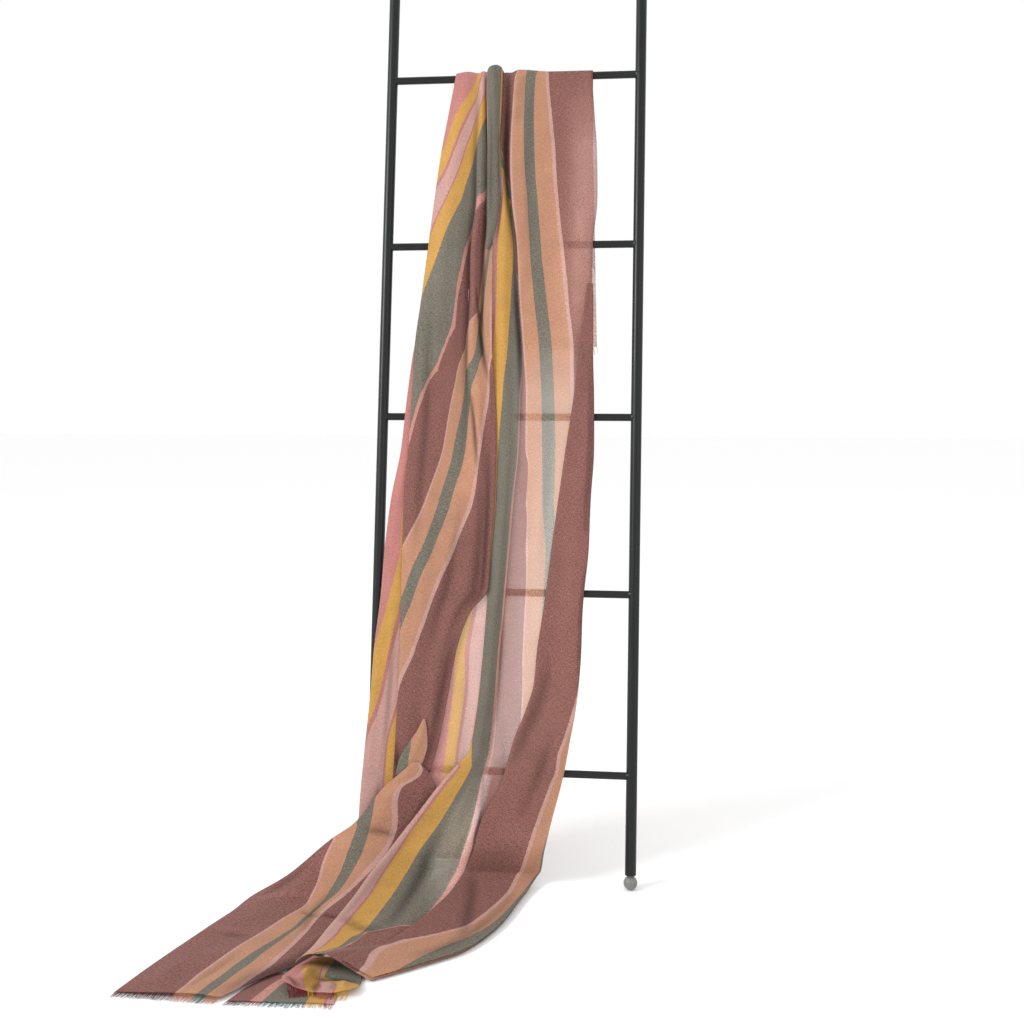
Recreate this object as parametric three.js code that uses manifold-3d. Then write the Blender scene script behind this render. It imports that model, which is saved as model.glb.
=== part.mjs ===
import * as THREE from "three";
import { mergeVertices } from "three/addons/utils/BufferGeometryUtils.js";
import Module from "manifold-3d";

// Millimetres, Z up. The ladder leans back along +Y and the cloth falls down its front.
const leanDegrees = 10.6;
const rungPitch = 260;
const firstRung = 160;
const rungCount = 5;
const rungRadius = 5.5;
const railRadius = 8;
const railHalfSpan = 189.5;
const railLength = 1400;
const footRadius = 10;
const wall = 1.5;
const gap = 0.3;
const foldLift = 4.6; // how far the turned-back flap stands off the cloth below it
const strandRadius = 0.75;
const backingWidth = 2.4;

const lean = THREE.MathUtils.degToRad(leanDegrees);
const [leanSin, leanCos] = [Math.sin(lean), Math.cos(lean)];
const topRung = firstRung + rungPitch * (rungCount - 1);
const v3 = (x, y, z) => new THREE.Vector3(x, y, z);

// Each row of a stretch gives one control point a fold line: xs across, hs out from the ladder.
function onLadder(t, xs, hs) {
  return xs.map((x, i) => v3(x, t * leanSin - hs[i] * leanCos, t * leanCos + hs[i] * leanSin));
}
function overRung(degrees, xs, hs) {
  const a = THREE.MathUtils.degToRad(degrees) + lean;
  return xs.map((x, i) =>
    v3(x, topRung * leanSin - hs[i] * Math.cos(a), topRung * leanCos + hs[i] * Math.sin(a)),
  );
}
function behind(drop, xs, hs) {
  return xs.map((x, i) => v3(x, topRung * leanSin + hs[i], topRung * leanCos - drop));
}
// A row between two points, tilted from the floor, with each line at its share of the width.
function laid(from, to, tiltDegrees, shares, hs) {
  const [a, b, tilt] = [v3(...from), v3(...to), THREE.MathUtils.degToRad(tiltDegrees)];
  const out = v3(0, -Math.sin(tilt), Math.cos(tilt));
  return shares.map((w, i) => a.clone().lerp(b, w).addScaledVector(out, hs[i]));
}

// A smooth line through points that never overshoots them, with cuts segments between each two.
function smooth(points, cuts) {
  const count = points.length - 1;
  const length = points.slice(1).map((p, i) => Math.max(p.distanceTo(points[i]), 0.01));
  const slope = points.slice(1).map((p, i) => p.clone().sub(points[i]).divideScalar(length[i]));
  const tangent = points.map((p, i) => {
    if (i === 0) return slope[0].clone();
    if (i === count) return slope[count - 1].clone();
    const [s, r] = [slope[i - 1].toArray(), slope[i].toArray()];
    return v3(...s.map((a, k) => (a * r[k] > 0 ? (2 * a * r[k]) / (a + r[k]) : 0)));
  });
  const out = [];
  for (let i = 0; i < count; i++)
    for (let k = 0; k < cuts; k++) {
      const s = k / cuts;
      out.push(
        v3(0, 0, 0)
          .addScaledVector(points[i], (1 + 2 * s) * (1 - s) ** 2)
          .addScaledVector(tangent[i], s * (1 - s) ** 2 * length[i])
          .addScaledVector(points[i + 1], s * s * (3 - 2 * s))
          .addScaledVector(tangent[i + 1], s * s * (s - 1) * length[i]),
      );
    }
  out.push(points[count].clone());
  return out;
}
function surface(rows, rowCuts, lineCuts) {
  const lines = rows[0].map((_, j) => smooth(rows.map((r) => r[j]), rowCuts));
  return lines[0].map((_, i) => smooth(lines.map((l) => l[i]), lineCuts));
}

function normals(grid) {
  const at = (i, j) =>
    grid[Math.min(Math.max(i, 0), grid.length - 1)][Math.min(Math.max(j, 0), grid[0].length - 1)];
  return grid.map((row, i) =>
    row.map((_, j) => {
      const down = at(i + 1, j).clone().sub(at(i - 1, j));
      const across = at(i, j + 1).clone().sub(at(i, j - 1));
      return across.cross(down).normalize().negate();
    }),
  );
}
// A closed wall on both sides of a grid of points.
function wallOf(grid, out = normals(grid)) {
  const [rows, cols] = [grid.length, grid[0].length];
  const position = [];
  for (const side of [0.5, -0.5])
    grid.forEach((row, i) =>
      row.forEach((p, j) =>
        position.push(...p.clone().addScaledVector(out[i][j], side * wall).toArray()),
      ),
    );
  const index = [];
  const quad = (a, b, c, d) => index.push(a, b, c, a, c, d);
  const at = (i, j, side) => side * rows * cols + i * cols + j;
  for (let i = 0; i + 1 < rows; i++)
    for (let j = 0; j + 1 < cols; j++) {
      quad(at(i, j, 0), at(i + 1, j, 0), at(i + 1, j + 1, 0), at(i, j + 1, 0));
      quad(at(i, j, 1), at(i, j + 1, 1), at(i + 1, j + 1, 1), at(i + 1, j, 1));
    }
  for (let j = 0; j + 1 < cols; j++) {
    quad(at(0, j, 0), at(0, j + 1, 0), at(0, j + 1, 1), at(0, j, 1));
    quad(at(rows - 1, j, 1), at(rows - 1, j + 1, 1), at(rows - 1, j + 1, 0), at(rows - 1, j, 0));
  }
  for (let i = 0; i + 1 < rows; i++) {
    quad(at(i, 0, 1), at(i + 1, 0, 1), at(i + 1, 0, 0), at(i, 0, 0));
    quad(at(i, cols - 1, 0), at(i + 1, cols - 1, 0), at(i + 1, cols - 1, 1), at(i, cols - 1, 1));
  }
  return new THREE.BufferGeometry()
    .setAttribute("position", new THREE.Float32BufferAttribute(position, 3))
    .setIndex(index);
}
// The walls of the stretches that a grid is cut into at some rows, a seam's gap apart.
function stretches(grid, ...cuts) {
  const out = normals(grid);
  const ends = [0, ...cuts, grid.length - 1];
  return ends.slice(1).map((end, n) => {
    const rows = grid.slice(ends[n], end + 1);
    if (end < grid.length - 1)
      rows[rows.length - 1] = rows.at(-1).map((p, j) => {
        const before = grid[end - 1][j];
        return p.clone().lerp(before, (gap * 2) / p.distanceTo(before));
      });
    return wallOf(rows, out.slice(ends[n], end + 1));
  });
}

const wasm = await Module();
wasm.setup();
function solid(geometry) {
  const bare = new THREE.BufferGeometry()
    .setAttribute("position", geometry.getAttribute("position"))
    .setIndex(geometry.index);
  const g = mergeVertices(bare, 1e-4);
  const [vertProperties, triVerts] = [g.attributes.position.array, new Uint32Array(g.index.array)];
  return new wasm.Manifold(new wasm.Mesh({ numProp: 3, vertProperties, triVerts }));
}
function joined(geometries) {
  const mesh = wasm.Manifold.union(geometries.map(solid)).getMesh();
  return new THREE.BufferGeometry()
    .setAttribute("position", new THREE.Float32BufferAttribute(mesh.vertProperties, 3))
    .setIndex([...mesh.triVerts]);
}

const group = new THREE.Group();
const steel = new THREE.MeshStandardMaterial({ color: 0x2b2f30, roughness: 0.45, metalness: 0.6 });
const rubber = new THREE.MeshStandardMaterial({ color: 0x555654, roughness: 0.6 });
const weave = new THREE.MeshStandardMaterial({ color: 0x82504e, roughness: 0.9 });
const peachWeave = new THREE.MeshStandardMaterial({ color: 0xcd9678, roughness: 0.9 });
const greyWeave = new THREE.MeshStandardMaterial({ color: 0x787669, roughness: 0.9 });
function add(name, geometry, material) {
  const mesh = new THREE.Mesh(geometry, material);
  mesh.name = name;
  group.add(mesh);
}

// Ladder
function bar(from, to, radius, sides) {
  const g = new THREE.CylinderGeometry(radius, radius, from.distanceTo(to), sides);
  const turn = new THREE.Quaternion().setFromUnitVectors(v3(0, 1, 0), to.clone().sub(from).normalize());
  const middle = from.clone().lerp(to, 0.5);
  return g.applyQuaternion(turn).translate(middle.x, middle.y, middle.z);
}
const onAxis = (x, t) => v3(x, t * leanSin, t * leanCos);
const footCentre = footRadius / leanCos;
const railStart = footCentre + footRadius + gap;
for (const [side, s] of [["left", -1], ["right", 1]]) {
  const x = s * railHalfSpan;
  add("rail_" + side, bar(onAxis(x, railStart), onAxis(x, railLength), railRadius, 20), steel);
  const c = onAxis(x, footCentre);
  const ball = new THREE.SphereGeometry(footRadius, 14, 10).rotateX(Math.PI / 2);
  add("foot_" + side, ball.translate(c.x, c.y, footRadius), rubber);
}
const rungReach = railHalfSpan - railRadius - gap;
for (let i = 0; i < rungCount; i++) {
  const t = firstRung + i * rungPitch;
  add(`rung_${i + 1}`, bar(onAxis(-rungReach, t), onAxis(rungReach, t), rungRadius, 16), steel);
}

// Upper sheet. Lines: outer edge, soft crest, valley, ridge, dip, inner edge.
const seamRow = 7; // the row, on top of the rung, at which the back stretches meet the front ones
const flat6 = [8, 9, 8, 9, 8, 8];
const upperTopXs = [-90, -72, -55, -48, -40, -32];
const upperRows = [
  behind(405, [-102, -81, -62, -46, -30, -15], [8, 15, 8, 14, 9, 11]),
  behind(260, [-98, -78, -59, -45, -30, -16], [8, 14, 8, 13, 9, 11]),
  behind(150, [-94, -75, -57, -45, -31, -17], [8, 13, 8, 13, 9, 11]),
  behind(60, [-91, -73, -56, -46, -34, -20], [8, 11, 8, 11, 9, 11]),
  behind(12, upperTopXs, flat6),
  overRung(165, upperTopXs, flat6),
  overRung(130, upperTopXs, flat6),
  overRung(95, upperTopXs, [8, 10, 8, 10, 8, 8]),
  overRung(60, upperTopXs, [8, 10.5, 8, 10.5, 8, 8]),
  overRung(28, upperTopXs, [8, 10.8, 8, 10.8, 8.2, 8.2]),
  onLadder(1196, [-91, -73, -55, -48, -40, -32], [8, 11, 8, 11, 8.5, 8.5]),
  onLadder(1133, [-101, -80, -56, -48, -39, -31], [9, 13, 9, 13, 9, 9]),
  onLadder(1084, [-109, -86, -58, -48, -38, -30], [9, 15, 9, 14, 9, 9]),
  onLadder(1007, [-118, -92, -57, -47, -38, -30], [9.5, 17, 9, 15, 9, 9]),
  onLadder(931, [-126, -96, -64, -54, -43, -27], [10, 18, 9.5, 17, 10, 12]),
  onLadder(855, [-134, -100, -63, -52, -43, -26], [11, 19, 10, 18, 10, 14]),
  onLadder(779, [-142, -104, -65, -54, -40, -24], [12, 18, 11, 15, 10.5, 17]),
  onLadder(704, [-144, -106, -61, -41, -30, -18], [12.5, 16, 11.5, 17, 13, 12.5]),
  onLadder(630, [-147, -112, -62, -44, -30, -15], [13, 16, 12, 17, 13.5, 13.3]),
  onLadder(555, [-152, -120, -80, -45, -30, -16], [13, 15, 13, 16, 14, 13.3]),
  onLadder(482, [-152, -125, -90, -55, -33, -20], [13, 15.5, 13, 15.5, 14, 13.4]),
  onLadder(424, [-152, -128, -98, -62, -38, -23], [13, 15.5, 13, 15.5, 14.8, 14]),
  onLadder(390, [-152, -130, -104, -76, -62, -48], [13, 16, 13, 16, 14.8, 13.4]),
  onLadder(336, [-152, -132, -110, -92, -80, -67], [13, 16, 13.5, 16, 14.5, 12.5]),
  onLadder(264, [-153, -134, -116, -102, -92, -79], [13, 16, 13.5, 16, 14.5, 12.5]),
  onLadder(192, [-155, -138, -122, -110, -102, -92], [13, 15, 13, 15, 14, 12.5]),
  onLadder(146, [-157, -142, -128, -119, -114, -107], [13, 13, 12.8, 12.8, 12.6, 12.5]),
];
const upper = surface(upperRows, 1, 2);
const [upperBack, upperFront] = stretches(upper, seamRow);
add("upper_back", upperBack, weave);
add("upper_fall", upperFront, weave);

// Under sheet. Lines: outer edge, over the rail, inside the rail, middle, inner edge.
const underEdges = [
  [872, -124, -60, 7.4],
  [779, -144, -56, 7.4],
  [704, -152.5, -56, 7.4],
  [630, -159, -56, 7.6],
  [555, -172, -56, 8.4],
  [482, -179, -50, 10.6],
  [428, -182, -14, 10.8],
  [400, -184, -6, 10.8],
  [336, -190.5, -9, 10.8],
  [264, -194.5, -15, 10.8],
  [192, -200, -22, 10.8],
  [121, -205, -32, 10.8],
  [75, -207, -44, 10.8],
  [34, -209, -56, 10.8],
];
const underRows = underEdges.map(([t, left, right, lift]) => {
  const xs = [0, 0.13, 0.3, 0.6, 1].map((w) => left + (right - left) * w);
  return onLadder(t, xs, [lift, Math.min(lift, 10.3), 7.6, 7.2, 7.2]);
});
add("under_fall", wallOf(surface(underRows, 1, 2)), greyWeave);

// Right sheet. Lines: inner edge, rise, crest, valley, ridge, middle, outer edge.
const rightTopXs = [-27, -20, -13, -6, 6, 56, 118];
const rightRows = [
  behind(405, [-31, -18, 0, 12, 28, 66, 127], [7.2, 7.2, 14, 8, 16, 10, 7.4]),
  behind(260, [-30, -18, -4, 6, 20, 62, 123], [7.2, 7.2, 12, 7.6, 15, 9, 7.4]),
  behind(150, [-29, -19, -9, -1, 12, 59, 120], [7.2, 7.2, 9, 7.4, 14, 8, 7.4]),
  behind(60, [-28, -20, -12, -5, 8, 57, 118], [7.2, 7.2, 7.6, 7.4, 12, 7.8, 7.4]),
  behind(12, rightTopXs, [7.2, 7.2, 7.4, 7.4, 9, 7.4, 7.2]),
  overRung(165, rightTopXs, [7.2, 7.2, 7.4, 7.4, 9.5, 7.4, 7.2]),
  overRung(130, rightTopXs, [7.2, 7.2, 7.4, 7.4, 10, 7.4, 7.2]),
  overRung(95, rightTopXs, [7.2, 7.2, 7.6, 7.4, 11, 7.4, 7.2]),
  overRung(60, rightTopXs, [7.2, 7.2, 7.6, 7.4, 11.2, 7.4, 7.2]),
  overRung(28, rightTopXs, [7.3, 7.3, 7.6, 7.4, 11.5, 7.4, 7.2]),
  onLadder(1196, [-27, -21, -14, -8, 4, 56, 118], [7.4, 7.4, 7.6, 7.4, 12, 7.4, 7.2]),
  onLadder(1133, [-28, -22, -16, -9, 1, 60, 122], [7.4, 7.4, 8, 7.2, 14, 9, 7.6]),
  onLadder(1084, [-29, -23, -17, -10, -1, 64, 126], [7.4, 8, 9, 7.2, 15, 10, 8]),
  onLadder(1007, [-28, -19, -12, -4, 3, 66, 128], [7.4, 9, 11, 7.4, 15, 10, 8.5]),
  onLadder(931, [-36, -24, -9, 7, 12, 66, 122], [7.4, 9, 13, 7.4, 13, 8, 7.2]),
  onLadder(855, [-37, -24, -8, 10, 15, 66, 122], [7.4, 11, 14, 7.6, 13, 8.5, 7.4]),
  onLadder(779, [-35, -22, -6, 16, 21, 66, 123], [7.4, 11, 14, 8, 12, 9, 7.4]),
  onLadder(704, [-28, -14, -3, 18, 27, 68, 126], [7.2, 11.5, 14, 9, 10, 8, 7.2]),
  onLadder(630, [-24, -11, 0, 17, 27, 70, 127], [7.2, 11.5, 14, 9, 9, 7.4, 7.2]),
  onLadder(555, [-24, -10, -2, 9, 20, 66, 123], [7.4, 12, 14.5, 9, 8, 7.4, 7.2]),
  onLadder(482, [-26, -14, -6, 5, 16, 60, 121], [8.6, 12, 14.5, 9, 8, 7.4, 7.2]),
  onLadder(424, [-24, -16, -9, 2, 14, 58, 116], [10, 11.8, 14.5, 9, 8, 7.4, 7.2]),
  onLadder(390, [-25, -22, -13, -2, 11, 56, 114], [10.8, 12.5, 14.5, 9.6, 8, 7.4, 7.2]),
  onLadder(336, [-28, -25, -16, -4, 10, 55, 113], [10.8, 12.5, 14.5, 9.8, 8, 7.4, 7.2]),
  onLadder(264, [-34, -31, -22, -10, 6, 50, 107], [10.8, 12.5, 14.5, 9.8, 8, 7.4, 7.2]),
  onLadder(207, [-42, -39, -30, -17, 1, 46, 98], [10.8, 12.5, 14.5, 9.8, 8.5, 7.4, 7.2]),
  onLadder(188, [-46, -42, -32, -19, 0, 45, 95], [12, 14, 15, 10.5, 8.5, 7.6, 7.4]),
  onLadder(165, [-66, -61, -40, -24, -5, 41, 91], [17.5, 19, 16, 11, 9, 8, 7.5]),
  onLadder(145, [-83, -77, -50, -28, -9, 37, 87], [20.5, 22, 18, 12, 10, 8.5, 7.6]),
];
const trainShares = [0, 0.035, 0.2, 0.42, 0.52, 0.75, 1];
const trainEnds = [
  [[-126, -20, 92], [76, 6, 98], 62, [0, 2, -3, 3, -3, -1, 0]],
  [[-150, -60, 65], [66, -8, 55], 50, [0, 3, 0, 4, -3, -1, 0]],
  [[-165, -90, 50], [58, 8, 14], 38, [0, 3, 1, 5, -2, 0, 0]],
  [[-181, -140, 32], [41, -42, 3], 25, [0, 3, 2, 6, 0, 2, 0]],
  [[-198, -205, 20], [20, -130, 2.5], 12, [0, 3, 2, 6, 2, 3, 0]],
  [[-205, -240, 16], [-17, -207, 2.5], 5, [0, 3, 2, 5, 3, 3, 0]],
  [[-212, -262, 14], [-60, -246, 2.5], 0, [0, 3, 4, 7, 5, 3, 0]],
  [[-218, -278, 12], [-119, -292, 2.5], 0, [0, 2, 8, 13, 13, 8, 0]],
];
const trainRows = trainEnds.map(([a, b, tilt, hs]) => laid(a, b, tilt, trainShares, hs));
const right = surface([...rightRows, ...trainRows], 1, 2);
const [rightBack, rightFront, rightTrain] = stretches(right, seamRow, rightRows.length - 1);
add("right_back", rightBack, peachWeave);
add("right_fall", rightFront, peachWeave);
add("right_train", rightTrain, greyWeave);

// Ridge fold over the top rung. Lines: left foot, left side, crest, right side, right foot.
const ridgeTopXs = [-42, -39, -30, -21, -18];
const ridgeRows = [
  behind(190, [-35, -33, -30, -27, -25], [15.5, 16, 16.4, 16, 15.5]),
  behind(120, [-40, -36, -30, -23, -19], [14.5, 16.5, 18, 16.5, 14.5]),
  behind(40, [-41, -38, -30, -21, -18], [13, 16, 20, 16, 13]),
  ...[165, 130, 95, 60, 28].map((a) => overRung(a, ridgeTopXs, [10.2, 16, 20, 16, 10.6])),
  onLadder(1196, ridgeTopXs, [10.5, 16, 20, 16, 11]),
  onLadder(1133, [-40, -37, -29, -22, -19], [12, 16, 20, 16, 11.5]),
  onLadder(1084, [-38, -35, -29, -24, -21], [12.2, 16.5, 20, 16.5, 12]),
  onLadder(1007, [-37, -35, -30, -26, -24], [12.5, 16, 18.5, 16, 12.5]),
  onLadder(931, [-35, -34, -33, -32, -31], [15, 15.6, 16, 15.8, 15.5]),
];
add("ridge_fold", wallOf(surface(ridgeRows, 1, 2)), greyWeave);

// Right flap. Columns: t, selvedge, outer fold.
const flapEdges = [
  [878, 115, 123],
  [855, 113, 124],
  [779, 105, 125],
  [704, 97, 128],
  [630, 87, 129],
  [555, 77.5, 125],
  [482, 68.5, 123],
  [424, 62, 118],
  [390, 58, 116],
  [336, 50.5, 115],
  [290, 47, 112],
  [248, 35, 107],
  [207, 19, 100],
  [188, 14, 97],
  [165, 8, 93],
  [145, 3, 89],
];
const flapShares = [0, 0.08, 0.45, 0.85, 0.96, 1];
const flapRows = flapEdges.map(([t, left, right]) =>
  onLadder(t, flapShares.map((w) => left + (right - left) * w), [11.4, 13, 12.6, 12.4, 11.6, 9.7]),
);
const flapFrom = [0.5, 0.54, 0.54, 0.54, 0.5, 0.47, 0.48, 0.6];
const flapLifts = [3.4, foldLift, foldLift, foldLift, foldLift - 0.2, 4.4];
const flapTrainRows = trainEnds.map(([a, b, tilt, hs], i) => {
  const shares = flapShares.map((w) => flapFrom[i] + (1 - flapFrom[i]) * w);
  const below = shares.map((w) => {
    const k = Math.min(Math.max(trainShares.findIndex((s) => s >= w), 1), hs.length - 1);
    const f = (w - trainShares[k - 1]) / (trainShares[k] - trainShares[k - 1]);
    return hs[k - 1] + (hs[k] - hs[k - 1]) * f;
  });
  return laid(a, [b[0] + 1.5, b[1], b[2]], tilt, shares, below.map((h, k) => h + flapLifts[k]));
});
const flapWhole = surface([...flapRows, ...flapTrainRows], 1, 2);
const [flapFall, flapTrain] = stretches(flapWhole, flapRows.length - 1);
add("right_flap", flapFall, weave);
add("flap_train", flapTrain, weave);

// Pleat leaf, between the upper fall and the left train. Lines: left, middle, right.
const leafRows = [
  onLadder(234, [-113, -111.5, -110], [18.2, 19, 18.2]),
  onLadder(216, [-122, -114, -107], [17.8, 20, 17.8]),
  onLadder(197, [-135, -119, -106], [17.4, 20, 17.4]),
  onLadder(172, [-148, -130, -112], [17, 18.9, 17.2]),
  onLadder(152, [-152, -138, -124], [16.8, 17.9, 17.2]),
];
add("pleat_leaf", wallOf(surface(leafRows, 1, 2)), peachWeave);

// Left train. Lines: outer edge, broad wave, hollow, rise, inner edge.
const leftShares = [0, 0.25, 0.5, 0.75, 1];
const leftTrainRows = [
  onLadder(172, [-126, -124, -122, -120, -118], [21, 21.6, 22, 21.6, 21]),
  onLadder(154, [-146, -136, -124, -112, -100], [20, 22, 21, 20, 18]),
  onLadder(134, [-168, -150, -130, -110, -92], [21, 25, 22, 19, 16.2]),
  laid([-208, -12, 87], [-118, -15, 62], 66, leftShares, [0, 4, 1, 0, 0]),
  laid([-240, -20, 65], [-135, -50, 36], 55, leftShares, [0, 4, 0, 0, 0]),
  laid([-296, -61, 24], [-152, -105, 14], 35, leftShares, [0, 3, -1, 1, 0]),
  laid([-334, -88, 7], [-168, -150, 6], 18, leftShares, [0, 6, 1, 3, 0]),
  laid([-352, -136, 2], [-184, -200, 4], 8, leftShares, [0, 5, 3, 1, 0]),
  laid([-380, -223, 2], [-206, -255, 4], 0, leftShares, [0, 2, 7, 2, 1]),
  laid([-400, -290, 2], [-250, -305, 5], 0, leftShares, [0, 4, 1, 4, 1]),
  laid([-415, -348, 2], [-284, -352, 5], 0, leftShares, [0, 1, 2.5, 3, 0.5]),
];
const leftTrain = surface(leftTrainRows, 1, 2);
add("left_train", wallOf(leftTrain), weave);

// Hem under, flat on the floor, and hem fold, its turned-up neighbour.
const hemUnderRows = [
  laid([-240, -284, 1.2], [-160, -284, 1.2], 0, leftShares, [0, 0, 0, 0, 0]),
  laid([-262, -318, 1.2], [-152, -312, 1.2], 0, leftShares, [0, 0, 0.6, 0, 0]),
  laid([-276, -352, 1.2], [-150, -345, 1.2], 0, leftShares, [0, 0.5, 0, 0.8, 0]),
];
const hemUnder = surface(hemUnderRows, 1, 2);
add("hem_under", wallOf(hemUnder), greyWeave);
const foldShares = [0, 0.2, 0.45, 0.7, 1];
const hemFoldRows = [
  laid([-204, -262, 9], [-138, -268, 3.1], 0, foldShares, [0, 3, 8.8, 3, 0]),
  laid([-221, -288, 6], [-130, -292, 3.1], 0, foldShares, [1, 4, 1, 2, 0]),
  laid([-222, -312, 7], [-128, -312, 3.1], 0, foldShares, [6, 5, -2.1, 3, 3]),
  laid([-212, -330, 6], [-134, -328, 4.2], 0, foldShares, [10, 3, 1, 1, 6]),
];
const hemFold = surface(hemFoldRows, 1, 2);
add("hem_fold", wallOf(hemFold), peachWeave);

// Fringe: a backing strip beyond a hem, with tapering strands rooted in it.
let seed = 7;
const random = () => ((seed = (seed * 16807) % 2147483647) / 2147483647) * 2 - 1;
function strand(from, to) {
  const g = new THREE.CylinderGeometry(strandRadius * 0.5, strandRadius, from.distanceTo(to), 3);
  const turn = new THREE.Quaternion().setFromUnitVectors(v3(0, 1, 0), to.clone().sub(from).normalize());
  const middle = from.clone().lerp(to, 0.5);
  return g.applyQuaternion(turn).translate(middle.x, middle.y, middle.z);
}
function fringe(name, grid, count, length, spread, floor, material) {
  const [before, hem] = grid.slice(-2);
  const away = hem.map((p, j) => p.clone().sub(before[j]).normalize());
  const out = (distance) => hem.map((p, j) => p.clone().addScaledVector(away[j], distance));
  const strip = [out(gap * 1.7), out(gap * 1.7 + backingWidth)];
  const parts = [wallOf(strip)];
  for (let k = 0; k < count; k++) {
    const s = ((k + 0.5) / count) * (hem.length - 1);
    const [j, f] = [Math.floor(s), s % 1];
    const root = strip[0][j].clone().lerp(strip[0][j + 1], f);
    const along = away[j].clone().lerp(away[j + 1], f).normalize();
    const side = hem[j + 1].clone().sub(hem[j]).normalize();
    root.addScaledVector(along, backingWidth * 0.55);
    const reach = backingWidth + length * (1 + 0.22 * random());
    const tip = root.clone().addScaledVector(along, reach).addScaledVector(side, spread * random());
    tip.z = Math.max(tip.z + (floor ? random() * 0.8 : 0), floor ? strandRadius + 0.4 : 1);
    root.z = Math.max(root.z, strandRadius + 0.3);
    parts.push(strand(root, tip));
  }
  add(name, joined(parts), material);
}
fringe("left_fringe", leftTrain, 40, 10, 1.1, true, weave);
fringe("under_fringe", hemUnder, 32, 9, 1.2, true, greyWeave);
fringe("fold_fringe", hemFold, 18, 9, 1.6, true, peachWeave);
fringe("back_fringe_left", upper.toReversed(), 20, 11, 1, false, weave);
fringe("back_fringe_right", right.toReversed(), 40, 11, 1, false, peachWeave);

// The origin sits below the middle of the whole, on the floor.
const box = new THREE.Box3().setFromObject(group, true);
const middle = box.getCenter(v3(0, 0, 0));
group.children.forEach((m) => m.geometry.translate(-middle.x, -middle.y, -box.min.z));

export default group;
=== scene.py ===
import bpy, bmesh, math
import numpy as np
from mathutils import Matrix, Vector


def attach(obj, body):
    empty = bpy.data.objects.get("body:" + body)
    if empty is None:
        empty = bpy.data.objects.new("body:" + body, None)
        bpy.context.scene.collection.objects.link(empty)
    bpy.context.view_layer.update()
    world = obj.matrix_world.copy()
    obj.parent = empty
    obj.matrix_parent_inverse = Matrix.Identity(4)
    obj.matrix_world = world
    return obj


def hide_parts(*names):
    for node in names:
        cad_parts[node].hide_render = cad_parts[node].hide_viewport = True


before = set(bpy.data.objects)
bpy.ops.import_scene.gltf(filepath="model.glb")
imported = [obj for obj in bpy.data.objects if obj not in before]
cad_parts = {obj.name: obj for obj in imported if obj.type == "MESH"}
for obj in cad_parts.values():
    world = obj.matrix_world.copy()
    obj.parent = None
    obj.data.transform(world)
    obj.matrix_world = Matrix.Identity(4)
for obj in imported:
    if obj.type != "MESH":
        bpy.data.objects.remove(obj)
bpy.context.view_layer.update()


def addObject(name, data):
    made = bpy.data.objects.new(name, data)
    bpy.context.scene.collection.objects.link(made)
    return made


def addPiece(name, mesh, material, nodes):
    mesh.materials.append(material)
    mesh.polygons.foreach_set("use_smooth", [True] * len(mesh.polygons))
    piece = addObject(name, mesh)
    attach(piece, "root")
    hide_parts(*nodes)
    return piece


# Camera: its place and sensor in mm, and the view's focal length, middle and width in columns
cameraSizes = {"place": (304.13, -1528.88, 719.0), "yaw": 6.37, "pitch": -6.41, "focal": 1150, "middle": 512,
               "width": 1024, "sensor": 36, "far": 60}
yaw, pitch = math.radians(cameraSizes["yaw"]), math.radians(cameraSizes["pitch"])
cameraData = bpy.data.cameras.new("camera")
cameraData.sensor_width = cameraSizes["sensor"]
cameraData.lens = cameraSizes["sensor"] * cameraSizes["focal"] / cameraSizes["width"]
cameraData.clip_end = cameraSizes["far"]
camera = addObject("camera", cameraData)
camera.location = Vector(cameraSizes["place"]) / 1000
ahead = Vector((-math.sin(yaw) * math.cos(pitch), math.cos(yaw) * math.cos(pitch), math.sin(pitch)))
aside = np.array([math.cos(yaw), math.sin(yaw), 0])
camera.rotation_euler = ahead.to_track_quat("-Z", "Y").to_euler()
bpy.context.scene.camera = camera
print("stage: camera")

# The ladder's frame of reference, in mm before the shift to the part's origin. The cover is the cloth's
# height over the top rung's middle.
ladderSizes = {"lean": 10.6, "pitch": 260, "first": 160, "rungs": 5, "rung": 5.5, "rail": 8, "span": 189.5,
               "length": 1400, "foot": 10, "cover": 8, "gap": 0.3, "sides": 40}
lean = math.radians(ladderSizes["lean"])
leanSin, leanCos = math.sin(lean), math.cos(lean)
topRung = ladderSizes["first"] + ladderSizes["pitch"] * (ladderSizes["rungs"] - 1)
toPart = np.array([108.1313, 50.1210, 0.0])


# Rows of places across the folds: up the ladder, round the top rung, behind it, or on the floor
def onLadder(t, xs, hs):
    xs, hs = np.array(xs, float), np.array(hs, float)
    return np.stack([xs, t * leanSin - hs * leanCos, t * leanCos + hs * leanSin], -1)


def overRung(degrees, xs, hs):
    a = math.radians(degrees) + lean
    xs, hs = np.array(xs, float), np.array(hs, float)
    return np.stack([xs, topRung * leanSin - hs * math.cos(a), topRung * leanCos + hs * math.sin(a)], -1)


def behind(drop, xs, hs):
    xs, hs = np.array(xs, float), np.array(hs, float)
    return np.stack([xs, topRung * leanSin + hs, np.full(len(xs), topRung * leanCos - drop)], -1)


def laid(start, end, tilt, shares, hs):
    a, b, tilt = np.array(start, float), np.array(end, float), math.radians(tilt)
    out = np.array([0, -math.sin(tilt), math.cos(tilt)])
    return a + (b - a) * np.array(shares)[:, None] + out * np.array(hs, float)[:, None]


def each(place, rows):
    return [place(*row) for row in rows]


def laidRows(shares, rows):
    return [laid(start, end, tilt, shares, hs) for start, end, tilt, hs in rows]


# Slopes at points, from the steps between them, that never let a line overshoot
def gentle(step):
    a, b = step[:-1], step[1:]
    total = np.where(a + b == 0, 1, a + b)
    return np.concatenate([step[:1], np.where(a * b > 0, 2 * a * b / total, 0), step[-1:]])


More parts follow.
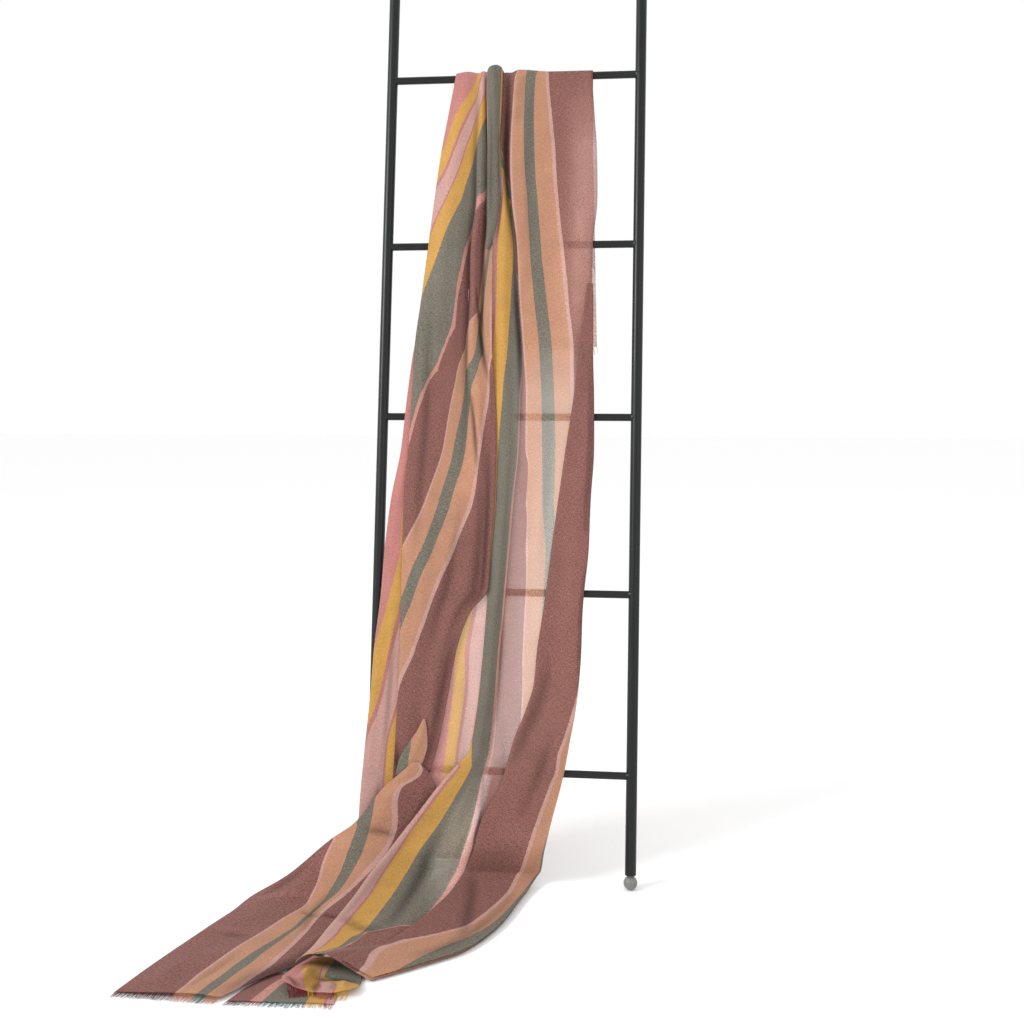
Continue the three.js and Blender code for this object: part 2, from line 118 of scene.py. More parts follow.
def eased(a, b, slopeA, slopeB, length, s):
    return (a * (1 + 2 * s) * (1 - s) ** 2 + slopeA * s * (1 - s) ** 2 * length
            + b * s * s * (3 - 2 * s) + slopeB * s * s * (s - 1) * length)


def smooth(points, cuts):
    step = np.diff(points, axis=0)
    length = np.maximum(np.linalg.norm(step, axis=-1, keepdims=True), 0.01)
    slope = gentle(step / length)
    out = [eased(points[:-1], points[1:], slope[:-1], slope[1:], length, k / cuts) for k in range(cuts)]
    fine = np.stack(out, 1).reshape((-1,) + points.shape[1:])
    return np.concatenate([fine, points[-1:]])


def surface(rows, rowCuts, lineCuts):
    down = smooth(np.array(rows), rowCuts)
    return smooth(down.transpose(1, 0, 2), lineCuts).transpose(1, 0, 2)


def normalsOf(grid):
    n = -np.cross(np.gradient(grid, axis=1), np.gradient(grid, axis=0))
    return n / np.maximum(np.linalg.norm(n, axis=-1, keepdims=True), 1e-9)


def pointOn(grid, rowCuts, row, share):
    i = min(max(row * rowCuts, 0), len(grid) - 1.001)
    j = min(max(share, 0), 0.9999) * (grid.shape[1] - 1)
    i0, j0 = int(i), int(j)
    fi, fj = i - i0, j - j0
    top = grid[i0, j0] * (1 - fj) + grid[i0, j0 + 1] * fj
    low = grid[i0 + 1, j0] * (1 - fj) + grid[i0 + 1, j0 + 1] * fj
    return top * (1 - fi) + low * fi


# Every sheet's wall in mm, and how creases are drawn. A valley as deep as darkest gets painted shade in full.
clothSizes = {"thickness": 0.6, "creaseSteps": 12, "creaseEnds": 0.7, "darkest": 3}


# Each crease runs from (row, share) to (row, share): height out of the cloth and half width in mm, and
# how much painted shade it puts into the colour where that isn't by its depth. Below nothing it paints light.
def crease(grid, out, rowCuts, creases):
    steps = clothSizes["creaseSteps"]
    lift, shade = np.zeros(grid.shape[:2]), np.zeros(grid.shape[:2])
    for row0, share0, row1, share1, height, half, *dark in creases:
        line = [pointOn(grid, rowCuts, row0 + (row1 - row0) * k, share0 + (share1 - share0) * k)
                for k in np.linspace(0, 1, steps + 1)]
        best, along = np.full(grid.shape[:2], 1e9), np.zeros(grid.shape[:2])
        for k in range(steps):
            a, d = line[k], line[k + 1] - line[k]
            f = np.clip(((grid - a) @ d) / max(d @ d, 1e-9), 0, 1)
            far = np.linalg.norm(grid - (a + f[..., None] * d), axis=-1)
            near = far < best
            best = np.where(near, far, best)
            along = np.where(near, (k + f) / steps, along)
        ends = np.sin(np.pi * np.clip(along, 0.02, 0.98)) ** clothSizes["creaseEnds"]
        fade = np.exp(-(best / half) ** 2) * ends
        lift += height * fade
        # Painted shade in the colour, from the depth or the given value; a value below nothing is a painted
        # highlight
        tint = (dark[0] if dark else min(max(-height, 0) / clothSizes["darkest"], 1)) * fade
        shade = np.where(np.abs(tint) > np.abs(shade), tint, shade)
    return grid + out * lift[..., None], shade


def shareOf(row):
    step = np.linalg.norm(np.diff(row, axis=0), axis=-1)
    return np.concatenate([[0], np.cumsum(step)]) / step.sum()


# How far across the view points of a row lie. Rows behind the top rung count from the rung.
def columnOf(row):
    p = row.copy()
    if (p[:, 2] * leanSin - p[:, 1] * leanCos).mean() < 0:
        p[:, 1:] = topRung * leanSin - ladderSizes["cover"], topRung * leanCos
    p = p + toPart - np.array(cameraSizes["place"])
    return cameraSizes["middle"] + cameraSizes["focal"] * (p @ aside) / (p @ np.array(ahead))


# The place across the flat cloth at each point. Each row's knots give it at shares of the row, up to 1, or
# at columns of the view. Rows between control rows go in by their number.
def stripesOn(grid, rowCuts, knots, between):
    rows = {**dict(enumerate(knots)), **between}
    at = np.array(sorted(rows), float)
    lines = []
    for row in at:
        placesOf = columnOf if rows[row][-1][0] > 1 else shareOf
        lines.append(np.interp(placesOf(grid[round(row * rowCuts)]), *zip(*rows[row])))
    lines = np.array(lines)
    slope = gentle(np.diff(lines, axis=0) / np.diff(at)[:, None])
    fine = np.arange(len(grid)) / rowCuts
    k = np.clip(np.searchsorted(at, fine, "right") - 1, 0, len(at) - 2)
    gap = (at[k + 1] - at[k])[:, None]
    return eased(lines[k], lines[k + 1], slope[k], slope[k + 1], gap, (fine - at[k])[:, None] / gap)


# How open the weave looks, from (row, places across and their openness). Open places also get painted
# backlight.
def opennessOn(grid, rowCuts, table):
    lines = [np.interp(shareOf(grid[row * rowCuts]), *zip(*places)) for row, places in table]
    at = [row * rowCuts for row, _ in table]
    return np.array([np.interp(np.arange(len(grid)), at, column) for column in np.array(lines).T]).T


def rim(edge, n):
    p, q = edge[:-1], edge[1:]
    return np.stack([p, q, q + n, p + n], -1)


def shellMesh(name, grid, u, v, layers):
    rows, cols = grid.shape[:2]
    n = rows * cols
    index = np.arange(n).reshape(rows, cols)
    a = index[:-1, :-1].ravel()
    front = np.stack([a, a + cols, a + cols + 1, a + 1], -1)
    faces = np.concatenate([front, front[:, ::-1] + n, rim(index[0], n), rim(index[:, 0], n)[:, ::-1],
                            rim(index[-1], n)[:, ::-1], rim(index[:, -1], n)])
    wall = normalsOf(grid) * clothSizes["thickness"]
    points = np.concatenate([(grid + wall * s + toPart).reshape(-1, 3) for s in (0.5, -0.5)]) / 1000
    mesh = bpy.data.meshes.new(name)
    mesh.from_pydata(points.tolist(), [], faces.tolist())
    flat = np.stack(np.broadcast_arrays(u, v), -1).reshape(-1, 2) / 1000
    flat = np.concatenate([flat, flat])[faces.ravel()]
    mesh.uv_layers.new(name="cloth").data.foreach_set("uv", flat.ravel().astype(np.float32))
    for label, values in layers.items():
        values = np.tile(values.ravel(), 2).astype(np.float32)
        mesh.attributes.new(label, "FLOAT", "POINT").data.foreach_set("value", values)
    mesh.validate()
    return mesh


def clothPiece(name, rows, sizes, stripes, nodes, creases=(), between={}):
    cuts = sizes["rowCuts"]
    grid = surface(rows, cuts, sizes["lineCuts"])
    u = stripesOn(grid, cuts, stripes, between)
    down = np.linalg.norm(np.diff(grid, axis=0), axis=-1).mean(1)
    v = np.concatenate([[0], np.cumsum(down)])[:, None] + sizes.get("start", 0)
    # The sheer layer sets openness and painted backlight; the shade layer carries painted shade and highlights
    sheer = opennessOn(grid, cuts, sizes["sheer"])
    grid, shade = crease(grid, normalsOf(grid), cuts, creases)
    mesh = shellMesh(name, grid, u, v, {"sheer": sheer, "shade": shade})
    piece = addPiece(name, mesh, clothMaterial, nodes)
    corner = grid[:-1, :-1]
    shown = np.linalg.norm(np.cross(grid[1:, :-1] - corner, grid[:-1, 1:] - corner), axis=-1).sum()
    print("stage:", name, "area m2", round(shown / 1e6, 4), "flat", sizes["flat"])
    return piece, grid, u


# Materials. The stripes of the flat cloth, in mm from one selvedge to the middle, and then back.
stripePlan = [(67, "burgundy"), (4, "blush"), (21, "peach"), (17, "moss"), (21, "peach"), (3.5, "blush"),
              (62.5, "burgundy"), (5, "coral"), (48, "moss"), (23, "yellow"), (4, "rose"), (22, "light"),
              (4, "rose"), (23, "yellow"), (39, "salmon")]
stripePlan = stripePlan + stripePlan[-2::-1]
clothWidth = sum(width for width, _ in stripePlan)
threads = {
    "burgundy": {"yarn": (110, 65, 62), "fleck": (170, 123, 113), "fringe": (84, 26, 38)},
    "blush": {"yarn": (190, 144, 134), "fleck": (216, 178, 166), "fringe": (196, 124, 112)},
    "peach": {"yarn": (183, 130, 101), "fleck": (207, 162, 135), "fringe": (206, 132, 88)},
    "moss": {"yarn": (96, 88, 76), "fleck": (150, 145, 132), "fringe": (34, 104, 98)},
    "coral": {"yarn": (188, 126, 114), "fleck": (216, 166, 154), "fringe": (160, 52, 58)},
    "rose": {"yarn": (176, 110, 102), "fleck": (200, 144, 134), "fringe": (148, 34, 54)},
    "yellow": {"yarn": (193, 145, 66), "fleck": (216, 174, 104), "fringe": (216, 168, 44)},
    "light": {"yarn": (188, 143, 133), "fleck": (214, 177, 169), "fringe": (186, 98, 100)},
    "salmon": {"yarn": (184, 117, 110), "fleck": (210, 152, 146), "fringe": (138, 22, 48)},
}


def linear(rgb):
    return [(c / 255 / 12.92 if c / 255 <= 0.04045 else ((c / 255 + 0.055) / 1.055) ** 2.4) for c in rgb] + [1]


class Nodes:
    def __init__(self, name):
        self.material = bpy.data.materials.new(name)
        self.material.use_nodes = True
        self.tree = self.material.node_tree
        self.tree.nodes.clear()

    def put(self, socket, value):
        if isinstance(value, (int, float, tuple, list)):
            socket.default_value = value
        else:
            self.tree.links.new(value, socket)

    def add(self, kind, links=(), **values):
        node = self.tree.nodes.new("ShaderNode" + kind)
        for key, value in values.items():
            if hasattr(node, key):
                setattr(node, key, value)
            else:
                node.inputs[key.replace("_", " ")].default_value = value
        for key, socket in dict(links).items():
            self.tree.links.new(socket, node.inputs[key])
        return node

    def maths(self, operation, a, b):
        node = self.add("Math", operation=operation)
        self.put(node.inputs[0], a)
        self.put(node.inputs[1], b)
        return node.outputs[0]

    def blend(self, factor, a, b, mode="MIX"):
        node = self.add("Mix", data_type="RGBA", blend_type=mode)
        for k, value in ((0, factor), (6, a), (7, b)):
            self.put(node.inputs[k], value)
        return node.outputs[2]

    def noise(self, where, scale, detail=2.0, rough=0.5):
        return self.add("TexNoise", {"Vector": where}, Scale=scale, Detail=detail, Roughness=rough).outputs[0]

    def bump(self, height, strength, distance):
        return self.add("Bump", {"Height": height}, Strength=strength, Distance=distance).outputs[0]

    def ramp(self, factor, kind):
        node = self.add("ValToRGB", {0: factor})
        node.color_ramp.interpolation = "CONSTANT"
        stops = node.color_ramp.elements
        stops.remove(stops[1])
        start = 0
        for width, thread in stripePlan:
            stop = stops.new(start / clothWidth) if start else stops[0]
            stop.color = linear(threads[thread][kind])
            start += width
        return node.outputs[0]

    def show(self, shader):
        self.add("OutputMaterial", {0: shader.outputs[0]})
        return self.material


# The noise scales of the weave, and how it takes light. Thin places let light through and also get painted
# backlight, a lighter colour; folds get painted shade, a darker colour.
weaveSizes = {"warp": 1250.0, "weft": 1150.0, "speck": 760.0, "slub": 30.0, "edge": 260.0, "edgeReach": 0.0016,
              "warpLong": (1.0, 0.22, 1.0), "weftLong": (0.2, 1.0, 1.0), "mixFrom": 1.24, "mixTo": 1.82,
              "paintedBacklightMix": 0.5, "paintedBacklight": 0.1, "paintedShadeStrength": 0.72, "bump": 0.1, "bumpDeep": 0.0004, "rough": 0.85,
              "sheen": 0.12, "sheenRough": 0.45, "shine": 0.2, "through": 0.32, "open": 0.68, "openMix": 0.4}


def makeCloth(name, kinds, sheer):
    m, w = Nodes(name), weaveSizes
    uv = m.add("UVMap", uv_map="cloth").outputs[0]
    across = m.maths("DIVIDE", m.add("SeparateXYZ", {"Vector": uv}).outputs[0], clothWidth / 1000)
    edge = m.maths("MULTIPLY", m.maths("SUBTRACT", m.noise(uv, w["edge"]), 0.5), w["edgeReach"])
    factor = m.maths("ADD", across, edge)
    yarn, fleck = m.ramp(factor, kinds[0]), m.ramp(factor, kinds[1])
    warp = m.noise(m.add("Mapping", {"Vector": uv}, Scale=w["warpLong"]).outputs[0], w["warp"], rough=0.6)
    weft = m.noise(m.add("Mapping", {"Vector": uv}, Scale=w["weftLong"]).outputs[0], w["weft"], rough=0.6)
    weave = m.maths("ADD", m.maths("ADD", warp, weft), m.noise(uv, w["speck"]))
    mix = m.add("MapRange", {"Value": weave}, From_Min=w["mixFrom"], From_Max=w["mixTo"]).outputs[0]
    sheerAndBacklight = m.add("Attribute", attribute_name="sheer").outputs["Fac"]
    paintedFoldShade = m.add("Attribute", attribute_name="shade").outputs["Fac"]
    # Thin places mix toward the pale fleck: painted backlight
    fleckAndBacklight = m.add("MapRange", {"Value": m.maths("ADD", mix, m.maths("MULTIPLY", sheerAndBacklight, w["paintedBacklightMix"]))}).outputs[0]
    uneven = m.add("MapRange", {"Value": m.noise(uv, w["slub"], 3.0, 0.6)}, From_Min=0.3, From_Max=0.7,
                   To_Min=0.94, To_Max=1.06).outputs[0]
    # Thin places are painted lighter (painted backlight) and folds darker (painted shade)
    paintedBacklight = m.maths("ADD", 1.0, m.maths("MULTIPLY", sheerAndBacklight, w["paintedBacklight"]))
    slubAndPaintedLight = m.maths("MULTIPLY", uneven, m.maths("SUBTRACT", paintedBacklight, m.maths("MULTIPLY", paintedFoldShade, w["paintedShadeStrength"])))
    grey = m.add("CombineXYZ", {"X": slubAndPaintedLight, "Y": slubAndPaintedLight, "Z": slubAndPaintedLight}).outputs[0]
    colour = m.blend(1.0, m.blend(fleckAndBacklight, yarn, fleck), grey, "MULTIPLY")
    bump = m.bump(weave, w["bump"], w["bumpDeep"])
    cloth = m.add("BsdfPrincipled", {"Base Color": colour, "Normal": bump}, Roughness=w["rough"],
                  Sheen_Weight=w["sheen"], Sheen_Roughness=w["sheenRough"], Specular_IOR_Level=w["shine"])
    through = m.add("BsdfTranslucent", {"Color": colour, "Normal": bump})
    shader = m.add("MixShader", {1: cloth.outputs[0], 2: through.outputs[0]})
    shader.inputs[0].default_value = w["through"]
    if sheer:
        gaps = m.maths("MULTIPLY", sheerAndBacklight, m.maths("SUBTRACT", w["open"], m.maths("MULTIPLY", mix, w["openMix"])))
        clear = m.add("BsdfTransparent")
        shader = m.add("MixShader", {0: gaps, 1: shader.outputs[0], 2: clear.outputs[0]})
    return m.show(shader)


clothMaterial = makeCloth("stripedWeave", ("yarn", "fleck"), True)
fringeMaterial = makeCloth("fringeYarn", ("fringe", "fringe"), False)
print("stage: materials")

# Upper sheet. Every sheet's rows run from the hem behind, or from its upper end, to the end on the floor.
upperSizes = {"rowCuts": 7, "lineCuts": 9, "flat": (0.11, 1.55), "sheer": [
    (0, [(0, 0.5), (1, 0.4)]), (9, [(0, 0.2), (1, 0.1)]), (26, [(0, 0.08), (1, 0.05)]),
]}
upperTop = [-90, -72, -55, -48, -40, -32]
upperFlat = [8, 9, 8, 9, 8, 8]
upperRows = each(behind, [
    (405, [-102, -81, -62, -46, -30, -15], [8, 15, 8, 14, 9, 11]),
    (260, [-98, -78, -59, -45, -30, -16], [8, 14, 8, 13, 9, 11]),
    (150, [-94, -75, -57, -45, -31, -17], [8, 13, 8, 13, 9, 11]),
    (60, [-91, -73, -56, -46, -34, -20], [8, 11, 8, 11, 9, 11]),
    (12, upperTop, upperFlat),
]) + each(overRung, [
    (165, upperTop, upperFlat),
    (130, upperTop, upperFlat),
    (95, upperTop, [8, 10, 8, 10, 8, 8]),
    (60, upperTop, [8, 10.5, 8, 10.5, 8, 8]),
    (28, upperTop, [8, 10.8, 8, 10.8, 8.2, 8.2]),
]) + each(onLadder, [
    (1196, [-91, -73, -55, -48, -40, -32], [8, 11, 8, 11, 8.5, 8.5]),
    (1133, [-101, -80, -56, -48, -39, -31], [9, 13, 9, 13, 9, 9]),
    (1084, [-109, -86, -58, -48, -38, -30], [9, 15, 9, 14, 9, 9]),
    (1007, [-118, -92, -57, -47, -38, -30], [9.5, 17, 9, 15, 9, 9]),
    (931, [-126, -96, -64, -54, -43, -27], [10, 18, 9.5, 17, 10, 12]),
    (855, [-134, -100, -63, -52, -43, -26], [11, 19, 10, 18, 10, 14]),
    (779, [-142, -104, -65, -54, -40, -24], [12, 18, 11, 15, 10.5, 17]),
    (704, [-144, -106, -61, -41, -30, -18], [12.5, 16, 11.5, 17, 13, 12.5]),
    (630, [-147, -112, -62, -44, -30, -15], [13, 16, 12, 17, 13.5, 13.3]),
    (555, [-152, -120, -80, -45, -30, -16], [13, 15, 13, 16, 14, 13.3]),
    (482, [-152, -125, -90, -55, -33, -20], [13, 15.5, 13, 15.5, 14, 13.4]),
    (424, [-152, -128, -98, -62, -38, -23], [13, 15.5, 13, 15.5, 14.8, 14]),
    (390, [-152, -130, -104, -76, -62, -48], [13, 16, 13, 16, 14.8, 13.4]),
    (336, [-152, -132, -110, -92, -80, -67], [13, 16, 13.5, 16, 14.5, 12.5]),
    (264, [-153, -134, -116, -102, -92, -79], [13, 16, 13.5, 16, 14.5, 12.5]),
    (192, [-155, -138, -122, -110, -102, -92], [13, 15, 13, 15, 14, 12.5]),
    (146, [-157, -142, -128, -119, -114, -107], [13, 13, 12.8, 12.8, 12.6, 12.5]),
])
upperTopStripes = [(455, 364), (478.5, 325), (482, 302), (483, 298), (488, 280)]
upperStripes = [
    [(447, 372), (478, 325), (505, 272)], [(450, 370), (479, 325), (504, 276)],
    [(452, 367), (480, 325), (503, 280)], [(454, 365), (480, 325), (501, 286)], *[upperTopStripes] * 6,
    [(455, 362), (476.5, 325), (480, 302), (482, 298), (488, 276)],
    [(447, 346), (454, 325), (466, 302), (468, 298), (476, 276), (477.5, 272), (482, 258), (488, 244)],
    [(441, 328), (443, 325), (453, 302), (455, 298), (465, 276), (466, 272), (472, 262), (476, 246),
     (488, 215)],
    [(434, 291), (446, 276), (448, 272), (462, 249), (474, 218), (477, 201), (486, 196), (489, 190)],
    [(427, 272), (440.5, 249), (464, 202), (468, 196), (471, 188), (482, 160), (484, 130), (491, 90)],
    [(421, 250), (456, 201), (457.5, 196), (468, 180), (479, 148), (481, 120), (484, 92), (491, 72)],
    [(414, 240), (443, 201), (446, 196), (464, 134), (466, 131), (476, 109), (484.5, 92), (491, 71)],
    [(411, 213), (419, 201), (423, 196), (451.5, 134), (464, 109), (471, 92), (487.5, 70), (495, 57)],
    [(408, 196), (443, 134), (454, 109), (467, 92), (479, 70), (496, 44)],
    [(403, 167), (426, 134), (440, 109), (453, 92), (472, 70), (494, 35)],
    [(402, 134), (423, 109), (435, 92), (453, 70), (491, 10)], [(401, 117), (418, 92), (435.5, 70), (489, 0)],
    [(399.5, 103), (410, 92), (427, 70), (470, 0)], [(399, 88), (414, 70), (456, 0)], [(397, 68), (449, 0)],
    [(395, 66), (438, 0)], [(392, 64), (426.5, 0)],
]
upperBetween = {
    15.57: [(418, 245), (451.5, 201), (455.5, 196), (467, 134), (477.5, 112), (480, 108), (481.5, 92),
            (491, 70)],
    16.43: [(412.5, 226), (433, 201), (438.5, 196), (457, 134), (466, 109), (478.5, 92), (488.5, 70),
            (493, 60)],
}
# Valleys get painted shade in the colour; a seventh value paints it darker than the depth
upperCreases = [
    (10.3, 0.42, 18.4, 0.39, -3.2, 4), (10.4, 0.5, 17.8, 0.5, 1.8, 4.5), (12.5, 0.3, 18, 0.31, 1.6, 6),
    (9.6, 0.74, 12.6, 0.86, -2.6, 3), (12, 0.84, 16, 0.8, -3.2, 3.4), (15.1, 0.74, 16.7, 0.86, -3.6, 3),
    (15.2, 0.86, 16.2, 0.95, 3.0, 3.5), (16.2, 0.92, 17.6, 0.86, 1.6, 3), (16.7, 0.42, 18.4, 0.64, -3.4, 3.2),
    (16.9, 0.56, 18.6, 0.74, 2.0, 4), (17.8, 0.84, 22, 0.9, -2.4, 4.5), (12, 0.14, 16, 0.18, 1.4, 9),
    (15, 0.1, 20, 0.16, -1.6, 7), (17.5, 0.2, 23, 0.3, 1.8, 9), (19, 0.5, 23, 0.44, -1.8, 7),
    (20.5, 0.72, 24, 0.6, 1.6, 6), (1, 0.3, 5, 0.4, 1.5, 6), (0, 0.7, 3, 0.6, -1.2, 5),
    (22.5, 0.9, 25.5, 0.8, -1.8, 6), (14.8, 0.65, 15.6, 0.84, -3.4, 3, 1.0),
    (24.9, 0.02, 26, 0.08, -0.8, 6, 0.9), (18.5, 0.74, 22.5, 0.78, -1.8, 7), (19.5, 0.1, 24, 0.06, 1.2, 5),
]
upperCloth, upperGrid, upperU = clothPiece(
    "upperCloth", upperRows, upperSizes, upperStripes, ["upper_back", "upper_fall"],
    upperCreases, upperBetween)

# Under sheet
underSizes = {"rowCuts": 7, "lineCuts": 9, "flat": (0.19, 0.84), "start": 560, "sheer": [
    (0, [(0, 0.05), (1, 0.4)]), (5, [(0, 0.04), (0.25, 0.05), (0.5, 0.4), (1, 0.8)]),
    (8, [(0, 0.04), (0.3, 0.08), (0.6, 0.55), (1, 0.7)]), (11, [(0, 0.08), (0.3, 0.15), (0.6, 0.4), (1, 0.55)]),
    (13, [(0, 0.1), (1, 0.35)]),
]}
# Height up the ladder, outer edge, inner edge, lift
underEdges = [
    (872, -124, -60, 7.4), (779, -144, -56, 7.4), (704, -152.5, -56, 7.4), (630, -159, -56, 7.6),
    (555, -172, -56, 8.4), (482, -179, -50, 10.6), (428, -182, -14, 10.8), (400, -184, -6, 10.8),
    (336, -190.5, -9, 10.8), (264, -194.5, -15, 10.8), (192, -200, -22, 10.8), (121, -205, -32, 10.8),
    (75, -207, -44, 10.8), (34, -209, -56, 10.8),
]
underShares = [0, 0.13, 0.3, 0.6, 1]
underRows = [
    onLadder(t, [left + (right - left) * w for w in underShares], [lift, min(lift, 10.3), 7.6, 7.2, 7.2])
    for t, left, right, lift in underEdges
]
underStripes = [
    [(430, 346), (441, 352), (444, 340), (474, 362)],
    [(412, 350), (421, 363), (431, 386), (434, 336), (472, 366)],
    [(405, 350), (412, 362), (426, 388), (429, 337), (471, 370)],
    [(400, 345), (410, 362), (421, 388), (424, 337), (469, 374)],
    [(389.5, 345), (402.4, 364), (414, 383), (417, 336), (468, 378)],
    [(383.4, 341), (399, 364), (411, 383), (414, 336), (445, 360), (471, 380)],
    [(380.5, 348), (391, 364), (405, 385), (416, 398), (419, 336), (449, 361), (470, 380), (478, 391),
     (495, 413)],
    [(378, 351), (386, 364), (399, 387), (402, 391), (416, 403), (419, 336), (452, 360), (461, 364), (475, 391),
     (495, 413)],
    [(372, 362), (373, 364), (389, 387), (391.5, 391), (411, 411), (414, 336), (445, 358), (456.5, 364),
     (464, 387), (468.5, 391), (484, 413)],
    [(368.5, 373), (378.6, 387), (381, 391), (397, 413), (400, 417), (407, 421), (410, 336), (437, 354),
     (452, 364), (463, 387), (466, 391), (480, 413)],
    [(363.5, 391), (385, 413), (387, 417), (401, 430), (404, 336), (436, 356), (446, 364), (456, 387),
     (458, 391), (471, 411)],
    [(358, 392), (380, 413), (383, 417), (396, 430), (399, 336), (426, 352), (438, 364), (452, 387),
     (466, 400)],
    [(355.5, 393), (377, 413), (380, 417), (391, 427), (394, 336), (412, 345), (440, 364), (469, 385)],
    [(354, 394), (375, 413), (378, 417), (387, 425), (390, 336), (412, 345), (440, 364), (460, 380)],
]
# Valleys get painted shade in the colour; a seventh value paints it darker than the depth
underCreases = [
    (1, 0.2, 6, 0.15, 1.2, 6), (7, 0.08, 12, 0.1, 1.4, 7), (8, 0.85, 12, 0.9, -1.0, 6),
    (9, 0.5, 13, 0.55, 1.5, 12), (10, 0.75, 12.5, 0.8, 1.2, 7), (10.6, 0.3, 12.2, 0.22, -0.6, 5, 0.9),
    (7, 0.28, 10.8, 0.3, -0.6, 4, 0.5),
]
underCloth = clothPiece(
    "underCloth", underRows, underSizes, underStripes, ["under_fall"], underCreases)[0]

# Right sheet
rightSizes = {"rowCuts": 7, "lineCuts": 9, "flat": (0.19, 2.0), "sheer": [
    (0, [(0, 0.4), (0.6, 0.6), (0.8, 0.95), (1, 1)]), (4, [(0, 0.3), (0.6, 0.5), (0.85, 0.95), (1, 1)]),
    (8, [(0, 0.1), (1, 0.3)]), (10, [(0, 0.05), (0.5, 0.1), (0.7, 0.3), (1, 0.35)]),
    (12, [(0, 0), (0.55, 0.08), (0.7, 0.35), (0.82, 1), (1, 1)]),
    (15, [(0, 0), (0.6, 0.12), (0.72, 0.5), (0.85, 0.95), (1, 0.5)]),
    (16, [(0, 0), (0.25, 0.08), (0.35, 0.3), (0.8, 0.5), (1, 0.1)]),
    (17, [(0, 0), (0.22, 0.08), (0.32, 0.6), (0.8, 0.85), (1, 0.2)]),
    (19, [(0, 0), (0.18, 0.06), (0.25, 0.6), (0.4, 0.7), (0.6, 0.95), (0.85, 0.95), (1, 0.2)]),
    (22, [(0, 0), (0.17, 0.04), (0.22, 0.7), (0.4, 0.9), (0.8, 1), (1, 0.3)]),
    (26, [(0, 0), (0.19, 0.04), (0.25, 0.75), (0.5, 0.8), (1, 0.3)]),
    (29, [(0, 0.1), (0.24, 0.1), (0.3, 0.9), (0.36, 0.4), (0.42, 0.9), (0.48, 0.9), (0.51, 0.15), (1, 0.12)]),
    (30, [(0, 0.05), (0.28, 0.08), (0.34, 0.9), (0.44, 0.7), (0.5, 0.95), (0.54, 0.1), (1, 0.08)]),
    (31, [(0, 0.05), (0.33, 0.08), (0.38, 0.9), (0.46, 0.7), (0.54, 0.95), (0.57, 0.1), (1, 0.05)]),
    (32, [(0, 0.05), (0.4, 0.1), (0.46, 0.7), (0.57, 0.9), (0.62, 0.1), (1, 0.05)]),
    (33, [(0, 0.05), (0.45, 0.1), (0.53, 0.4), (0.6, 0.05), (1, 0.03)]), (36, [(0, 0.03)]),
]}
rightTop = [-27, -20, -13, -6, 6, 56, 118]
